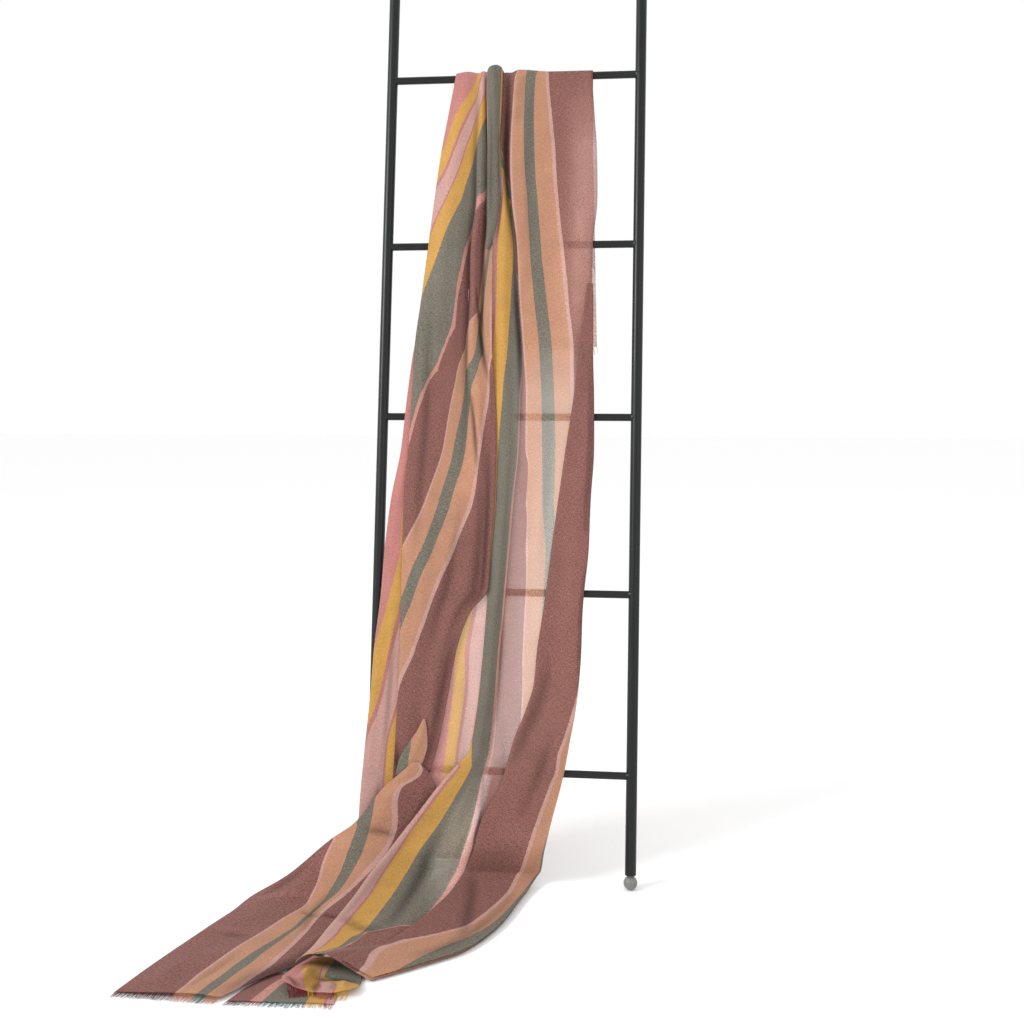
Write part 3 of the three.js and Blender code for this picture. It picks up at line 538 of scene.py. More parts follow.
rightRows = each(behind, [
    (405, [-31, -18, 0, 12, 28, 66, 127], [7.2, 7.2, 14, 8, 16, 10, 7.4]),
    (260, [-30, -18, -4, 6, 20, 62, 123], [7.2, 7.2, 12, 7.6, 15, 9, 7.4]),
    (150, [-29, -19, -9, -1, 12, 59, 120], [7.2, 7.2, 9, 7.4, 14, 8, 7.4]),
    (60, [-28, -20, -12, -5, 8, 57, 118], [7.2, 7.2, 7.6, 7.4, 12, 7.8, 7.4]),
    (12, rightTop, [7.2, 7.2, 7.4, 7.4, 9, 7.4, 7.2]),
]) + each(overRung, [
    (165, rightTop, [7.2, 7.2, 7.4, 7.4, 9.5, 7.4, 7.2]),
    (130, rightTop, [7.2, 7.2, 7.4, 7.4, 10, 7.4, 7.2]),
    (95, rightTop, [7.2, 7.2, 7.6, 7.4, 11, 7.4, 7.2]),
    (60, rightTop, [7.2, 7.2, 7.6, 7.4, 11.2, 7.4, 7.2]),
    (28, rightTop, [7.3, 7.3, 7.6, 7.4, 11.5, 7.4, 7.2]),
]) + each(onLadder, [
    (1196, [-27, -21, -14, -8, 4, 56, 118], [7.4, 7.4, 7.6, 7.4, 12, 7.4, 7.2]),
    (1133, [-28, -22, -16, -9, 1, 60, 122], [7.4, 7.4, 8, 7.2, 14, 9, 7.6]),
    (1084, [-29, -23, -17, -10, -1, 64, 126], [7.4, 8, 9, 7.2, 15, 10, 8]),
    (1007, [-28, -19, -12, -4, 3, 66, 128], [7.4, 9, 11, 7.4, 15, 10, 8.5]),
    (931, [-36, -24, -9, 7, 12, 66, 122], [7.4, 9, 13, 7.4, 13, 8, 7.2]),
    (855, [-37, -24, -8, 10, 15, 66, 122], [7.4, 11, 14, 7.6, 13, 8.5, 7.4]),
    (779, [-35, -22, -6, 16, 21, 66, 123], [7.4, 11, 14, 8, 12, 9, 7.4]),
    (704, [-28, -14, -3, 18, 27, 68, 126], [7.2, 11.5, 14, 9, 10, 8, 7.2]),
    (630, [-24, -11, 0, 17, 27, 70, 127], [7.2, 11.5, 14, 9, 9, 7.4, 7.2]),
    (555, [-24, -10, -2, 9, 20, 66, 123], [7.4, 12, 14.5, 9, 8, 7.4, 7.2]),
    (482, [-26, -14, -6, 5, 16, 60, 121], [8.6, 12, 14.5, 9, 8, 7.4, 7.2]),
    (424, [-24, -16, -9, 2, 14, 58, 116], [10, 11.8, 14.5, 9, 8, 7.4, 7.2]),
    (390, [-25, -22, -13, -2, 11, 56, 114], [10.8, 12.5, 14.5, 9.6, 8, 7.4, 7.2]),
    (336, [-28, -25, -16, -4, 10, 55, 113], [10.8, 12.5, 14.5, 9.8, 8, 7.4, 7.2]),
    (264, [-34, -31, -22, -10, 6, 50, 107], [10.8, 12.5, 14.5, 9.8, 8, 7.4, 7.2]),
    (207, [-42, -39, -30, -17, 1, 46, 98], [10.8, 12.5, 14.5, 9.8, 8.5, 7.4, 7.2]),
    (188, [-46, -42, -32, -19, 0, 45, 95], [12, 14, 15, 10.5, 8.5, 7.6, 7.4]),
    (165, [-66, -61, -40, -24, -5, 41, 91], [17.5, 19, 16, 11, 9, 8, 7.5]),
    (145, [-83, -77, -50, -28, -9, 37, 87], [20.5, 22, 18, 12, 10, 8.5, 7.6]),
])
# Train rows: left end, right end, tilt, heights at the shares
trainShares = [0, 0.035, 0.2, 0.42, 0.52, 0.75, 1]
trainEnds = [
    ((-126, -20, 92), (76, 6, 98), 62, [0, 2, -3, 3, -3, -1, 0]),
    ((-150, -60, 65), (66, -8, 55), 50, [0, 3, 0, 4, -3, -1, 0]),
    ((-165, -90, 50), (58, 8, 14), 38, [0, 3, 1, 5, -2, 0, 0]),
    ((-181, -140, 32), (41, -42, 3), 25, [0, 3, 2, 6, 0, 2, 0]),
    ((-198, -205, 20), (20, -130, 2.5), 12, [0, 3, 2, 6, 2, 3, 0]),
    ((-205, -240, 16), (-17, -207, 2.5), 5, [0, 3, 2, 5, 3, 3, 0]),
    ((-212, -262, 14), (-60, -246, 2.5), 0, [0, 4, 9, 13, 11, 4, 0]),
    ((-217, -276, 12), (-119, -291, 2.5), 0, [0, 5, 16, 20, 17, 8, 0]),
]
rightTopStripes = [(496.8, 535), (517, 557), (526, 580), (537, 597), (545.5, 620), (592, 689)]
rightStripes = [
    [(495, 470), (512, 500), (535, 557), (560, 580), (580, 597), (597, 610)],
    [(495, 490), (512, 520), (530, 557), (550, 580), (565, 597), (595, 630)],
    [(495, 510), (512, 540), (523, 557), (540, 580), (550, 597), (594, 655)],
    [(495, 530), (512, 550), (519, 557), (530, 580), (541, 597), (593, 676)],
    *[rightTopStripes] * 6,
    [(496.8, 535), (515, 557), (525, 580), (535.5, 597), (546, 620), (592, 689)],
    [(496, 500), (503, 520), (512, 557), (523, 580), (533.3, 597), (549.5, 620), (593.5, 689)],
    [(494, 405), (499, 413), (499.6, 417), (500.2, 440), (500.8, 488), (501.4, 496), (510.8, 557), (523, 580),
     (534, 597), (552.5, 620), (596, 689)],
    [(493, 403), (500.8, 413), (502.8, 417), (510, 440), (510.8, 488), (511.5, 556), (526.5, 580), (536.8, 597),
     (556, 620), (597, 689)],
    [(483, 391), (494, 413), (497.5, 417), (513.5, 440), (516.5, 556), (529, 580), (540.5, 597), (561, 620),
     (592, 667)],
    [(484, 396), (492.5, 413), (496.5, 417), (510.3, 440), (518, 462), (519, 556), (533, 580), (546, 597),
     (566, 620), (592, 663)],
    [(489, 413), (493, 417), (507, 440), (520.5, 480), (522.5, 556), (538, 580), (551.5, 597), (570.5, 620),
     (592, 650)],
    [(490, 412), (494, 424), (502, 440), (518.5, 488), (524, 510), (525.2, 556), (540.5, 580), (554, 597),
     (571.5, 620), (592, 650)],
    [(491, 425), (497.5, 440), (517, 488), (518.5, 494), (524.3, 545), (525, 557), (541, 580), (555, 597),
     (573, 620), (592, 650)],
    [(489.5, 430), (495.5, 440), (511, 488), (513, 493), (524, 530), (525, 557), (541.5, 580), (553.5, 597),
     (569, 620), (589, 648)],
    [(487, 432), (491, 440), (507, 488), (508.5, 493), (524, 538), (525.5, 557), (546, 582), (556, 597),
     (570, 620), (586.5, 645)],
    [(484.5, 434), (487.5, 440), (503.5, 488), (505, 493), (523, 547), (524.6, 557), (543, 580), (555, 597),
     (569, 620), (582, 641)],
    [(483, 434), (486, 440), (501.5, 488), (503, 493), (522.8, 550), (524, 557), (541, 580), (553, 597),
     (567, 620), (580.5, 638)],
    [(480.5, 434), (482.6, 440), (497.5, 488), (499, 493), (522, 554), (523, 558), (538, 580), (550, 597),
     (564, 620), (579, 636)],
    [(476, 434), (478, 440), (493, 488), (496.5, 493), (521, 555), (522, 558), (537, 580), (548, 597),
     (561, 620), (574.5, 634)],
    [(470.5, 436), (472, 440), (488, 488), (494, 493), (514, 545), (530, 580), (541, 597), (554, 620),
     (567, 630)],
    [(468, 433), (471.5, 440), (486, 488), (492.5, 493), (510, 545), (527, 580), (538, 597), (552, 617),
     (566, 628)],
    [(455, 412), (460, 417), (470.5, 440), (482, 488), (488, 493), (508, 538), (525, 575), (545, 592),
     (565, 608)],
    [(443, 413), (449, 417), (463.4, 440), (478.5, 488), (485, 494), (505, 530), (525, 560), (560, 605)],
    [(409, 411), (413, 413), (417.5, 417), (438.5, 440), (470, 488), (477, 493), (492, 520), (551, 603)],
    [(387, 396), (391, 411), (394, 413), (398, 417), (417, 440), (459.5, 488), (469, 493.5), (480, 505),
     (544, 598)],
    [(372, 395), (379, 408), (382, 413), (386, 417), (406, 440), (452.5, 488), (462, 494), (475, 508),
     (539, 596)],
    [(351, 395), (360, 408), (364, 413), (369, 417), (389.5, 440), (436, 488), (451, 494), (465, 508),
     (524, 590)],
    [(326, 395), (334, 408), (338, 413), (343, 417), (366, 440), (413, 488), (421, 494), (430, 505),
     (501, 584)],
    [(313, 400), (320, 410), (323, 413), (327, 417), (342, 440), (344, 488), (346, 494), (465, 582)],
    [(303, 398), (309, 410), (312, 413), (315, 417), (327, 440), (329, 488), (331, 494), (426, 582)],
    [(294, 398), (299, 410), (302, 413), (305, 417), (314, 440), (316, 488), (318, 494), (371, 582)],
]
rightBetween = {
    12.57: [(494, 403), (502.3, 413), (504, 417), (506, 440), (506.6, 488), (507.4, 498), (511, 557),
            (524.5, 580), (535, 597), (554, 620), (597, 689)],
    33.29: [(322, 398), (331, 410), (335, 413), (339.5, 417), (362, 440), (364, 488), (366, 494), (380, 510),
            (491, 583)],
}
# Valleys get painted shade in the colour; negative seventh values paint highlight bands on the right edge and
# train
rightCreases = [
    (9.4, 0.46, 14.4, 0.5, -3.2, 5), (14, 0.5, 18, 0.52, -3.4, 3.4), (10.6, 0.66, 15, 0.68, 1.8, 5),
    (13, 0.3, 17.5, 0.33, 1.6, 5), (12.6, 0.06, 15.4, 0.1, 1.4, 3.5), (10.2, 0.74, 14.6, 0.72, -1.2, 5),
    (15, 0.74, 19, 0.73, 1.2, 7), (9.6, 0.7, 11.4, 0.69, -1.6, 3), (12.5, 0.86, 16, 0.92, 1.8, 8),
    (11, 0.95, 15.4, 0.9, -1.2, 6, -0.3), (17, 0.8, 21, 0.82, -1.2, 6), (20, 0.72, 26, 0.74, 1.0, 8),
    (17, 0.52, 21.4, 0.56, -1.6, 4.5), (21, 0.54, 28.6, 0.54, -2.0, 4), (21, 0.3, 27, 0.34, 1.4, 5),
    (24.5, 0.66, 30, 0.76, -1.6, 4), (28, 0.4, 32.4, 0.51, 3.2, 7), (29.2, 0.37, 33.2, 0.45, -2.6, 8),
    (27.2, 0.49, 30.4, 0.73, -3.2, 3.6, 1.0), (29.4, 0.69, 32.2, 0.72, -2.6, 3.6, 0.9),
    (28.4, 0.42, 32.6, 0.6, 0, 10, -0.4), (28.4, 0.54, 32.9, 0.7, 0, 6, -0.6),
    (10.8, 0.93, 16, 0.95, 0, 20, -0.35), (28.6, 0.2, 33, 0.18, -1.4, 7), (31, 0.06, 32.2, 0.5, 1.8, 6),
    (32.5, 0.1, 33.3, 0.46, -1.8, 7), (29, 0.8, 32, 0.84, -1.4, 8), (1, 0.6, 4, 0.66, 1.6, 9),
    (0, 0.8, 3, 0.76, -1.4, 7),
]
rightCloth, rightGrid, rightU = clothPiece(
    "rightCloth", rightRows + laidRows(trainShares, trainEnds), rightSizes, rightStripes,
    ["right_back", "right_fall", "right_train"], rightCreases, rightBetween)

# Ridge fold over the top rung
ridgeSizes = {"rowCuts": 8, "lineCuts": 8, "flat": (0.036, 0.4), "start": 420, "sheer": [(0, [(0, 0)])]}
ridgeTop = [-42, -39, -30, -21, -18]
ridgeRows = each(behind, [
    (190, [-35, -33, -30, -27, -25], [15.5, 16, 16.4, 16, 15.5]),
    (120, [-40, -36, -30, -23, -19], [14.5, 16.5, 18, 16.5, 14.5]),
    (40, [-41, -38, -30, -21, -18], [13, 16, 20, 16, 13]),
]) + [overRung(a, ridgeTop, [10.2, 16, 20, 16, 10.6]) for a in (165, 130, 95, 60, 28)] + each(onLadder, [
    (1196, ridgeTop, [10.5, 16, 20, 16, 11]),
    (1133, [-40, -37, -29, -22, -19], [12, 16, 20, 16, 11.5]),
    (1084, [-38.5, -36, -30, -24, -21.5], [12.2, 16.5, 20, 16.5, 12]),
    (1007, [-38, -36, -30, -23, -17.5], [12.5, 16, 18.5, 16.4, 13.6]),
    (965, [-37, -35.5, -31, -26, -22.5], [13, 15.8, 17.4, 16, 14]),
    (931, [-37, -36, -35, -34, -33], [14, 15.2, 15.8, 15.2, 14.6]),
])
ridgeStripes = [[(0, 196), (0.05, 201), (0.12, 206), (0.8, 244), (0.86, 249), (1, 262)]] * 10 + [
    [(0, 199), (0.05, 204), (1, 251)], [(0, 203), (1, 248)], [(0, 204), (1, 247)], [(0, 205), (1, 246)]]
# Valleys get painted shade in the colour
ridgeCreases = [
    (8.5, 0.36, 12, 0.5, -1.6, 3.5), (3, 0.3, 8.6, 0.62, -1.0, 4), (9, 0.8, 12, 0.8, 1.0, 3.5),
    (9.4, 0.08, 12.6, 0.2, -1.2, 2.5),
]
ridgeCloth = clothPiece(
    "ridgeCloth", ridgeRows, ridgeSizes, ridgeStripes, ["ridge_fold"], ridgeCreases)[0]

# Right flap. It lies over the right sheet, and on the floor it starts at these shares of that sheet's rows.
flapSizes = {"rowCuts": 7, "lineCuts": 9, "flat": (0.065, 1.25), "start": 560, "past": 1.5, "sheer": [
    (0, [(0, 0.15)]), (9, [(0, 0.12), (1, 0.2)]), (12, [(0, 0.4), (1, 0.45)]), (15, [(0, 0.5)]),
    (18, [(0, 0.15), (1, 0.2)]), (23, [(0, 0.03)]),
]}
# Height up the ladder, selvedge, outer fold
flapEdges = [
    (878, 115, 123), (855, 113, 124), (779, 105, 125), (704, 97, 128), (630, 87, 129), (555, 77.5, 125),
    (482, 68.5, 123), (424, 62, 118), (390, 58, 116), (336, 50.5, 115), (290, 47, 112), (248, 35, 107),
    (207, 19, 100), (188, 14, 97), (165, 8, 93), (145, 3, 89),
]
flapShares = [0, 0.08, 0.45, 0.85, 0.96, 1]
flapFrom = [0.5, 0.54, 0.54, 0.54, 0.5, 0.47, 0.48, 0.6]
flapRows = [onLadder(t, [left + (right - left) * w for w in flapShares], [11.4, 13, 12.6, 12.4, 11.6, 9.7])
            for t, left, right in flapEdges]
for (a, b, tilt, hs), start in zip(trainEnds, flapFrom):
    shares = [start + (1 - start) * w for w in flapShares]
    lifts = np.interp(shares, trainShares, hs) + [3.4, 4.6, 4.6, 4.6, 4.4, 4.4]
    flapRows.append(laid(a, (b[0] + flapSizes["past"], b[1], b[2]), tilt, shares, lifts))
flapStripes = [
    *[[(0, 689), (1, end)] for end in (678, 674, 665, 654, 646, 640, 634, 631, 629, 626, 624)],
    [(0, 689), (0.97, 621), (1, 619)], [(514, 689), (565, 621), (570, 611)],
    [(510, 689), (560, 621), (567, 606)], [(505, 689), (558, 621), (564, 605)],
    [(502, 689), (552, 621), (561, 603)], [(481, 689), (540, 621), (552, 600)],
    [(473, 689), (529, 621), (543, 597), (544, 595)], [(464, 689), (521, 621), (538, 597), (540, 594)],
    [(447, 689), (509, 621), (522.5, 597), (525, 592)], [(416, 680), (476, 621), (495, 597), (502, 586)],
    [(385, 636), (398, 621), (444, 597), (466, 583)], [(362, 636), (378, 621), (417, 597), (427, 590)],
    [(340, 645), (362, 621), (372, 604)],
]
# Valleys get painted shade in the colour; the last two are painted highlight bands with no depth
flapCreases = [
    (3, 0.5, 9, 0.45, 1.3, 9), (9, 0.3, 14, 0.2, -1.6, 8), (10, 0.65, 15, 0.6, 1.8, 10),
    (14, 0.35, 17, 0.4, 1.6, 8), (18, 0.2, 21, 0.6, -1.8, 8), (17, 0.75, 20, 0.8, 1.6, 7),
    (19.5, 0.05, 22, 0.3, 1.5, 8), (6, 0.8, 10, 0.85, -1.0, 5), (2, 0.7, 6, 0.66, -1.2, 6),
    (12, 0.5, 16, 0.44, -1.6, 7), (16, 0.6, 19, 0.5, 1.8, 9), (19, 0.62, 22, 0.5, -1.6, 6),
    (2, 0.5, 12, 0.5, 0, 28, -0.2), (15.5, 0.5, 20, 0.45, 0, 26, -0.18),
]
flapCloth = clothPiece(
    "flapCloth", flapRows, flapSizes, flapStripes, ["right_flap", "flap_train"],
    flapCreases)[0]

# Pleat leaf
leafSizes = {"rowCuts": 8, "lineCuts": 8, "flat": (0.03, 0.085), "start": 1290, "sheer": [(0, [(0, 0.1)])]}
leafRows = each(onLadder, [
    (234, [-113, -111.5, -110], [18.2, 19, 18.2]),
    (216, [-122, -114, -107], [17.8, 20, 17.8]),
    (197, [-135, -119, -106], [17.4, 20, 17.4]),
    (172, [-148, -130, -112], [17, 18.9, 17.2]),
    (152, [-152, -138, -124], [16.8, 17.9, 17.2]),
])
leafStripes = [
    [(0, 90), (1, 73)], [(0, 91), (1, 72)], [(0, 97), (0.3, 92), (1, 71)], [(0, 105), (0.5, 92), (1, 72)],
    [(0, 108), (0.75, 92), (1, 82)],
]
leafCreases = [(0.5, 0.5, 3.5, 0.45, 0.8, 4)]
leafCloth = clothPiece(
    "leafCloth", leafRows, leafSizes, leafStripes, ["pleat_leaf"], leafCreases)[0]

# Left train
leftSizes = {"rowCuts": 8, "lineCuts": 12, "flat": (0.15, 0.48), "start": 1340, "sheer": [
    (0, [(0, 0.1)]), (10, [(0, 0.05)]),
]}
leftShares = [0, 0.25, 0.5, 0.75, 1]
leftRows = each(onLadder, [
    (172, [-126, -124, -122, -120, -118], [21, 21.6, 22, 21.6, 21]),
    (154, [-146, -136, -124, -112, -100], [20, 22, 21, 20, 18]),
    (134, [-168, -150, -130, -110, -92], [21, 25, 22, 19, 16.2]),
]) + laidRows(leftShares, [
    ((-208, -12, 87), (-118, -15, 62), 66, [0, 4, 1, 0, 0]),
    ((-240, -20, 65), (-135, -50, 36), 55, [0, 4, 0, 0, 0]),
    ((-296, -61, 24), (-152, -105, 14), 35, [0, 3, -1, 1, 0]),
    ((-334, -88, 7), (-168, -150, 6), 18, [0, 6, 1, 3, 0]),
    ((-352, -136, 2), (-184, -200, 4), 8, [0, 5, 3, 1, 0]),
    ((-380, -223, 2), (-206, -255, 4), 0, [0, 2, 7, 2, 1]),
    ((-400, -290, 2), (-250, -305, 5), 0, [0, 4, 1, 4, 1]),
    ((-415, -348, 2), (-284, -352, 5), 0, [0, 1, 2.5, 3, 0.5]),
])
leftStripes = [
    [(0, 92), (1, 71)], [(0, 92), (0.6, 71), (1, 55)], [(0, 92), (0.28, 71), (1, 35)],
    [(355, 112), (358.5, 109), (371, 92), (391, 71), (396, 66), (416, 50)],
    [(332, 136), (334, 134), (351, 109), (364, 92), (376, 71), (399, 50)],
    [(286, 165), (317, 134), (331.5, 109), (340.5, 92), (344, 71), (379, 40)],
    [(254, 196), (303.5, 134), (314, 109), (316, 92), (321.5, 71), (359, 30)],
    [(230, 196), (276.5, 134), (294, 109), (296.5, 92), (303.5, 71), (338, 37)],
    [(185, 196), (239.5, 134), (259, 109), (266, 92), (279, 71), (309, 43)],
    [(148, 196), (201.5, 134), (227, 109), (238, 92), (252, 71), (262, 57)],
    [(115, 196), (176, 134), (198, 109), (208, 92), (220, 75)],
]
# Valleys get painted shade in the colour; the first two ridges are painted highlights, and 1.0 marks painted
# shadow along the right edge
leftCreases = [
    (6.4, 0.04, 5.4, 0.42, 3.6, 6, -0.35), (7.5, 0.02, 7.42, 0.42, 2.4, 3.5, -0.35),
    (7.72, 0.04, 7.6, 0.4, -1.6, 4), (6.3, 0.48, 6.05, 0.94, -2.6, 3.2), (3.1, 0.22, 3.0, 0.64, -2.2, 3.4),
    (2.0, 0.88, 5.5, 0.86, -2.6, 6.5, 1.0), (5.4, 0.96, 10, 0.97, -1.2, 12, 1.0), (5.0, 0.5, 7.2, 0.7, -1.6, 6),
    (4.2, 0.2, 6.2, 0.3, 1.8, 8), (8.6, 0.2, 9.8, 0.3, 1.5, 10), (3, 0.76, 5.4, 0.78, 1.6, 6),
    (5.6, 0.84, 8.4, 0.86, 1.8, 6), (8, 0.5, 9.8, 0.6, -1.0, 6), (4.6, 0.06, 6, 0.1, -1.2, 6),
]
leftCloth, leftGrid, leftU = clothPiece(
    "leftCloth", leftRows, leftSizes, leftStripes, ["left_train"], leftCreases)

# Hem under and hem fold
hemSizes = {"rowCuts": 10, "lineCuts": 14, "flat": (0.125, 0.07), "start": 1880, "sheer": [(0, [(0, 0.05)])]}
hemRows = laidRows(leftShares, [
    ((-240, -284, 1.2), (-160, -284, 1.2), 0, [0, 0, 0, 0, 0]),
    ((-262, -318, 1.2), (-152, -312, 1.2), 0, [0, 0, 0.6, 0, 0]),
    ((-276, -352, 1.2), (-150, -345, 1.2), 0, [0, 0.5, 0, 0.8, 0]),
])
hemStripes = [[(0, 150), (0.2, 196), (0.32, 201), (0.73, 249), (0.86, 272), (0.92, 276), (1, 290)]] * 3
hemCloth, hemGrid, hemU = clothPiece("hemCloth", hemRows, hemSizes, hemStripes, ["hem_under"])
foldSizes = {"rowCuts": 10, "lineCuts": 12, "flat": (0.1, 0.07), "start": 1880, "sheer": [(0, [(0, 0.05)])]}
foldRows = laidRows([0, 0.2, 0.45, 0.7, 1], [
    ((-204, -242, 4), (-138, -250, 2.6), 0, [0, 0.6, 1, 0.6, 0]),
    ((-221, -288, 6), (-130, -292, 3.1), 0, [1, 3, 0.4, 1.6, 0]),
    ((-222, -312, 7), (-128, -312, 3.1), 0, [6, 6, -2.1, 2.4, 4]),
    ((-212, -330, 6), (-134, -328, 4.2), 0, [10, 3, 0.4, 1, 7]),
])
foldStripes = [
    [(0, 330), (0.1, 325), (0.38, 302), (0.4, 276), (0.42, 249), (1, 215)],
    [(0, 340), (0.17, 325), (0.44, 302), (0.46, 276), (0.48, 249), (1, 215)],
    [(0, 352), (0.24, 325), (0.5, 302), (0.7, 276), (0.75, 272), (1, 252)],
    [(0, 356), (0.34, 325), (0.44, 302), (0.72, 276), (0.78, 272), (1, 252)],
]
# Valleys get painted shade in the colour; the fourth is painted shadow under the arch with no depth
foldCreases = [
    (0.8, 0.34, 2.7, 0.28, 11, 4.6), (1.9, 0.06, 3, 0.12, 3, 4), (1.4, 0.8, 3, 0.88, 3.6, 5),
    (0.4, 0.1, 0.5, 1.0, 0, 9, 1.0), (1.3, 0.4, 1.35, 1.0, -2.4, 4.5, 1.0),
    (1.5, 0.5, 2.9, 0.47, -1.2, 3.5, 0.9), (2.2, 0.04, 3, 0.3, 0, 5, 0.8), (1.5, 0.7, 2.8, 0.72, -0.8, 4, 0.5),
]
foldCloth, foldGrid, foldU = clothPiece(
    "foldCloth", foldRows, foldSizes, foldStripes, ["hem_fold"], foldCreases)
print("stage: cloth")

# Fringe: fine tapered strands rooted along a hem, gathered in tufts. On the floor they droop and lie loose.
fringeSizes = {"strands": 150, "length": 11, "shorter": 0.28, "longer": 0.24, "jitter": 0.4, "spread": 1.4,
               "curl": 0.8, "wave": 3, "tuft": 6.5, "gather": 1.0, "radius": 0.34, "taper": 0.55, "sunk": 0.8,
               "rings": 5, "sides": 3, "turn": 0.5, "floor": True, "droop": 1.3, "lie": 0.6, "loose": 1.2,
               "lowest": 0.5, "start": 2000, "seed": 3}


def fringePiece(name, grid, u, sizes, node):
    picker = np.random.RandomState(sizes["seed"])
    strands, rings, sides = sizes["strands"], sizes["rings"], sizes["sides"]
    hem = grid[-1]
    away = hem - grid[-3]
    away /= np.linalg.norm(away, axis=1, keepdims=True)
    beside = np.gradient(hem, axis=0)
    beside /= np.linalg.norm(beside, axis=1, keepdims=True)
    points, faces, flat = [], [], []
    for k in range(strands):
        share = (k + 0.5 + picker.uniform(-sizes["jitter"], sizes["jitter"])) / strands
        s = min(max(share, 0.002), 0.998) * (len(hem) - 1)
        j, f = int(s), s % 1
        root, out, colour = [line[j] * (1 - f) + line[j + 1] * f for line in (hem, away, u)]
        tuft = math.sin(k * 2 * math.pi / sizes["tuft"])
        sway = picker.uniform(-1, 1) * sizes["spread"] + tuft * sizes["gather"]
        curl = picker.uniform(-1, 1) * sizes["curl"]
        reach = sizes["length"] * (1 + picker.uniform(-sizes["shorter"], sizes["longer"]))
        side = np.cross(out, [0, 0, 1.0]) if sizes["floor"] else beside[j]
        side = side / max(np.linalg.norm(side), 1e-6)
        up = np.cross(side, out)
        first = len(points)
        for r in range(rings):
            w = r / (rings - 1)
            aslant = sway * w + curl * math.sin(w * sizes["wave"])
            c = root + out * (reach * w - sizes["sunk"]) + beside[j] * aslant
            if sizes["floor"]:
                lying = sizes["lie"] + picker.uniform(0, sizes["loose"]) * w
                c[2] = max(c[2] * (1 - w) ** sizes["droop"] + lying * w, sizes["lowest"])
            radius = sizes["radius"] * (1 - sizes["taper"] * w)
            for q in range(sides):
                a = 2 * math.pi * q / sides + sizes["turn"]
                points.append(c + (side * math.cos(a) + up * math.sin(a)) * radius)
                flat.append((colour, sizes["start"] + reach * w))
        for low in range(first, first + (rings - 1) * sides, sides):
            for q in range(sides):
                a, b = low + q, low + (q + 1) % sides
                faces.append((a, b, b + sides, a + sides))
        faces += [tuple(range(first, first + sides))[::-1], tuple(range(low + sides, low + 2 * sides))]
    mesh = bpy.data.meshes.new(name)
    mesh.from_pydata(((np.array(points) + toPart) / 1000).tolist(), [], faces)
    loops = np.zeros(len(mesh.loops), int)
    mesh.loops.foreach_get("vertex_index", loops)
    flat = (np.array(flat)[loops] / 1000).ravel().astype(np.float32)
    mesh.uv_layers.new(name="cloth").data.foreach_set("uv", flat)
    return addPiece(name, mesh, fringeMaterial, [node])


leftFringe = fringePiece("leftFringe", leftGrid, leftU[-1], fringeSizes, "left_fringe")
hemFringe = fringePiece("hemFringe", hemGrid, hemU[-1], {**fringeSizes, "strands": 130, "seed": 5},
                        "under_fringe")
loose = {**fringeSizes, "strands": 90, "spread": 2.2, "seed": 8}
foldFringe = fringePiece("foldFringe", foldGrid, foldU[-1], loose, "fold_fringe")
hanging = {**fringeSizes, "floor": False, "strands": 90, "length": 12, "seed": 11}
backFringeLeft = fringePiece(
    "backFringeLeft", upperGrid[::-1], upperU[0], hanging, "back_fringe_left")
backFringeRight = fringePiece(
    "backFringeRight", rightGrid[::-1], rightU[0], {**hanging, "strands": 160, "seed": 13},
    "back_fringe_right")
print("stage: fringe")


# Ladder: rails with end plugs, rungs with weld beads, and ball feet
def joinedPiece(name, build, material, nodes):
    bm = bmesh.new()
    build(bm)
    bmesh.ops.recalc_face_normals(bm, faces=bm.faces)
    mesh = bpy.data.meshes.new(name)
    bm.to_mesh(mesh)
    bm.free()
    addPiece(name, mesh, material, nodes)
    mesh.set_sharp_from_angle(angle=math.radians(40))


# A turned form along a line: profile rows are (distance along in mm, radius in mm).
def turned(bm, start, end, profile):
    sides = ladderSizes["sides"]
    d = (end - start).normalized()
    turn = d.to_track_quat("Z", "Y")
    rings = []
    for far, radius in profile:
        ring = []
        for k in range(sides):
            angle = 2 * math.pi * k / sides
            p = start + d * far + turn @ Vector((math.cos(angle) * radius, math.sin(angle) * radius, 0))
            ring.append(bm.verts.new(p / 1000))
        rings.append(ring)
    for low, high in zip(rings, rings[1:]):
        for k in range(sides):
            bm.faces.new((low[k], low[(k + 1) % sides], high[(k + 1) % sides], high[k]))
    bm.faces.new(rings[0][::-1])
    bm.faces.new(rings[-1])


def onAxis(x, t):
    return Vector((x, t * leanSin, t * leanCos)) + Vector(toPart)


# Steel: fine orange peel in the paint, and dull scuffs
steelSizes = {"peel": 900.0, "scuff": 14.0, "dark": (8, 10, 11), "pale": (17, 19, 20), "smooth": 0.3,
              "dull": 0.46, "bump": 0.12, "bumpDeep": 0.0003, "shine": 0.34}
steel = Nodes("paintedSteel")
where = steel.add("TexCoord").outputs["Object"]
scuff = steel.noise(where, steelSizes["scuff"], 5.0, 0.65)
dull = steel.add("MapRange", {"Value": scuff}, From_Min=0.35, From_Max=0.75, To_Min=steelSizes["smooth"],
                 To_Max=steelSizes["dull"]).outputs[0]
tint = steel.blend(scuff, linear(steelSizes["dark"]), linear(steelSizes["pale"]))
peel = steel.bump(steel.noise(where, steelSizes["peel"]), steelSizes["bump"], steelSizes["bumpDeep"])
steelMaterial = steel.show(steel.add("BsdfPrincipled", {"Base Color": tint, "Roughness": dull, "Normal": peel},
                                     Specular_IOR_Level=steelSizes["shine"]))

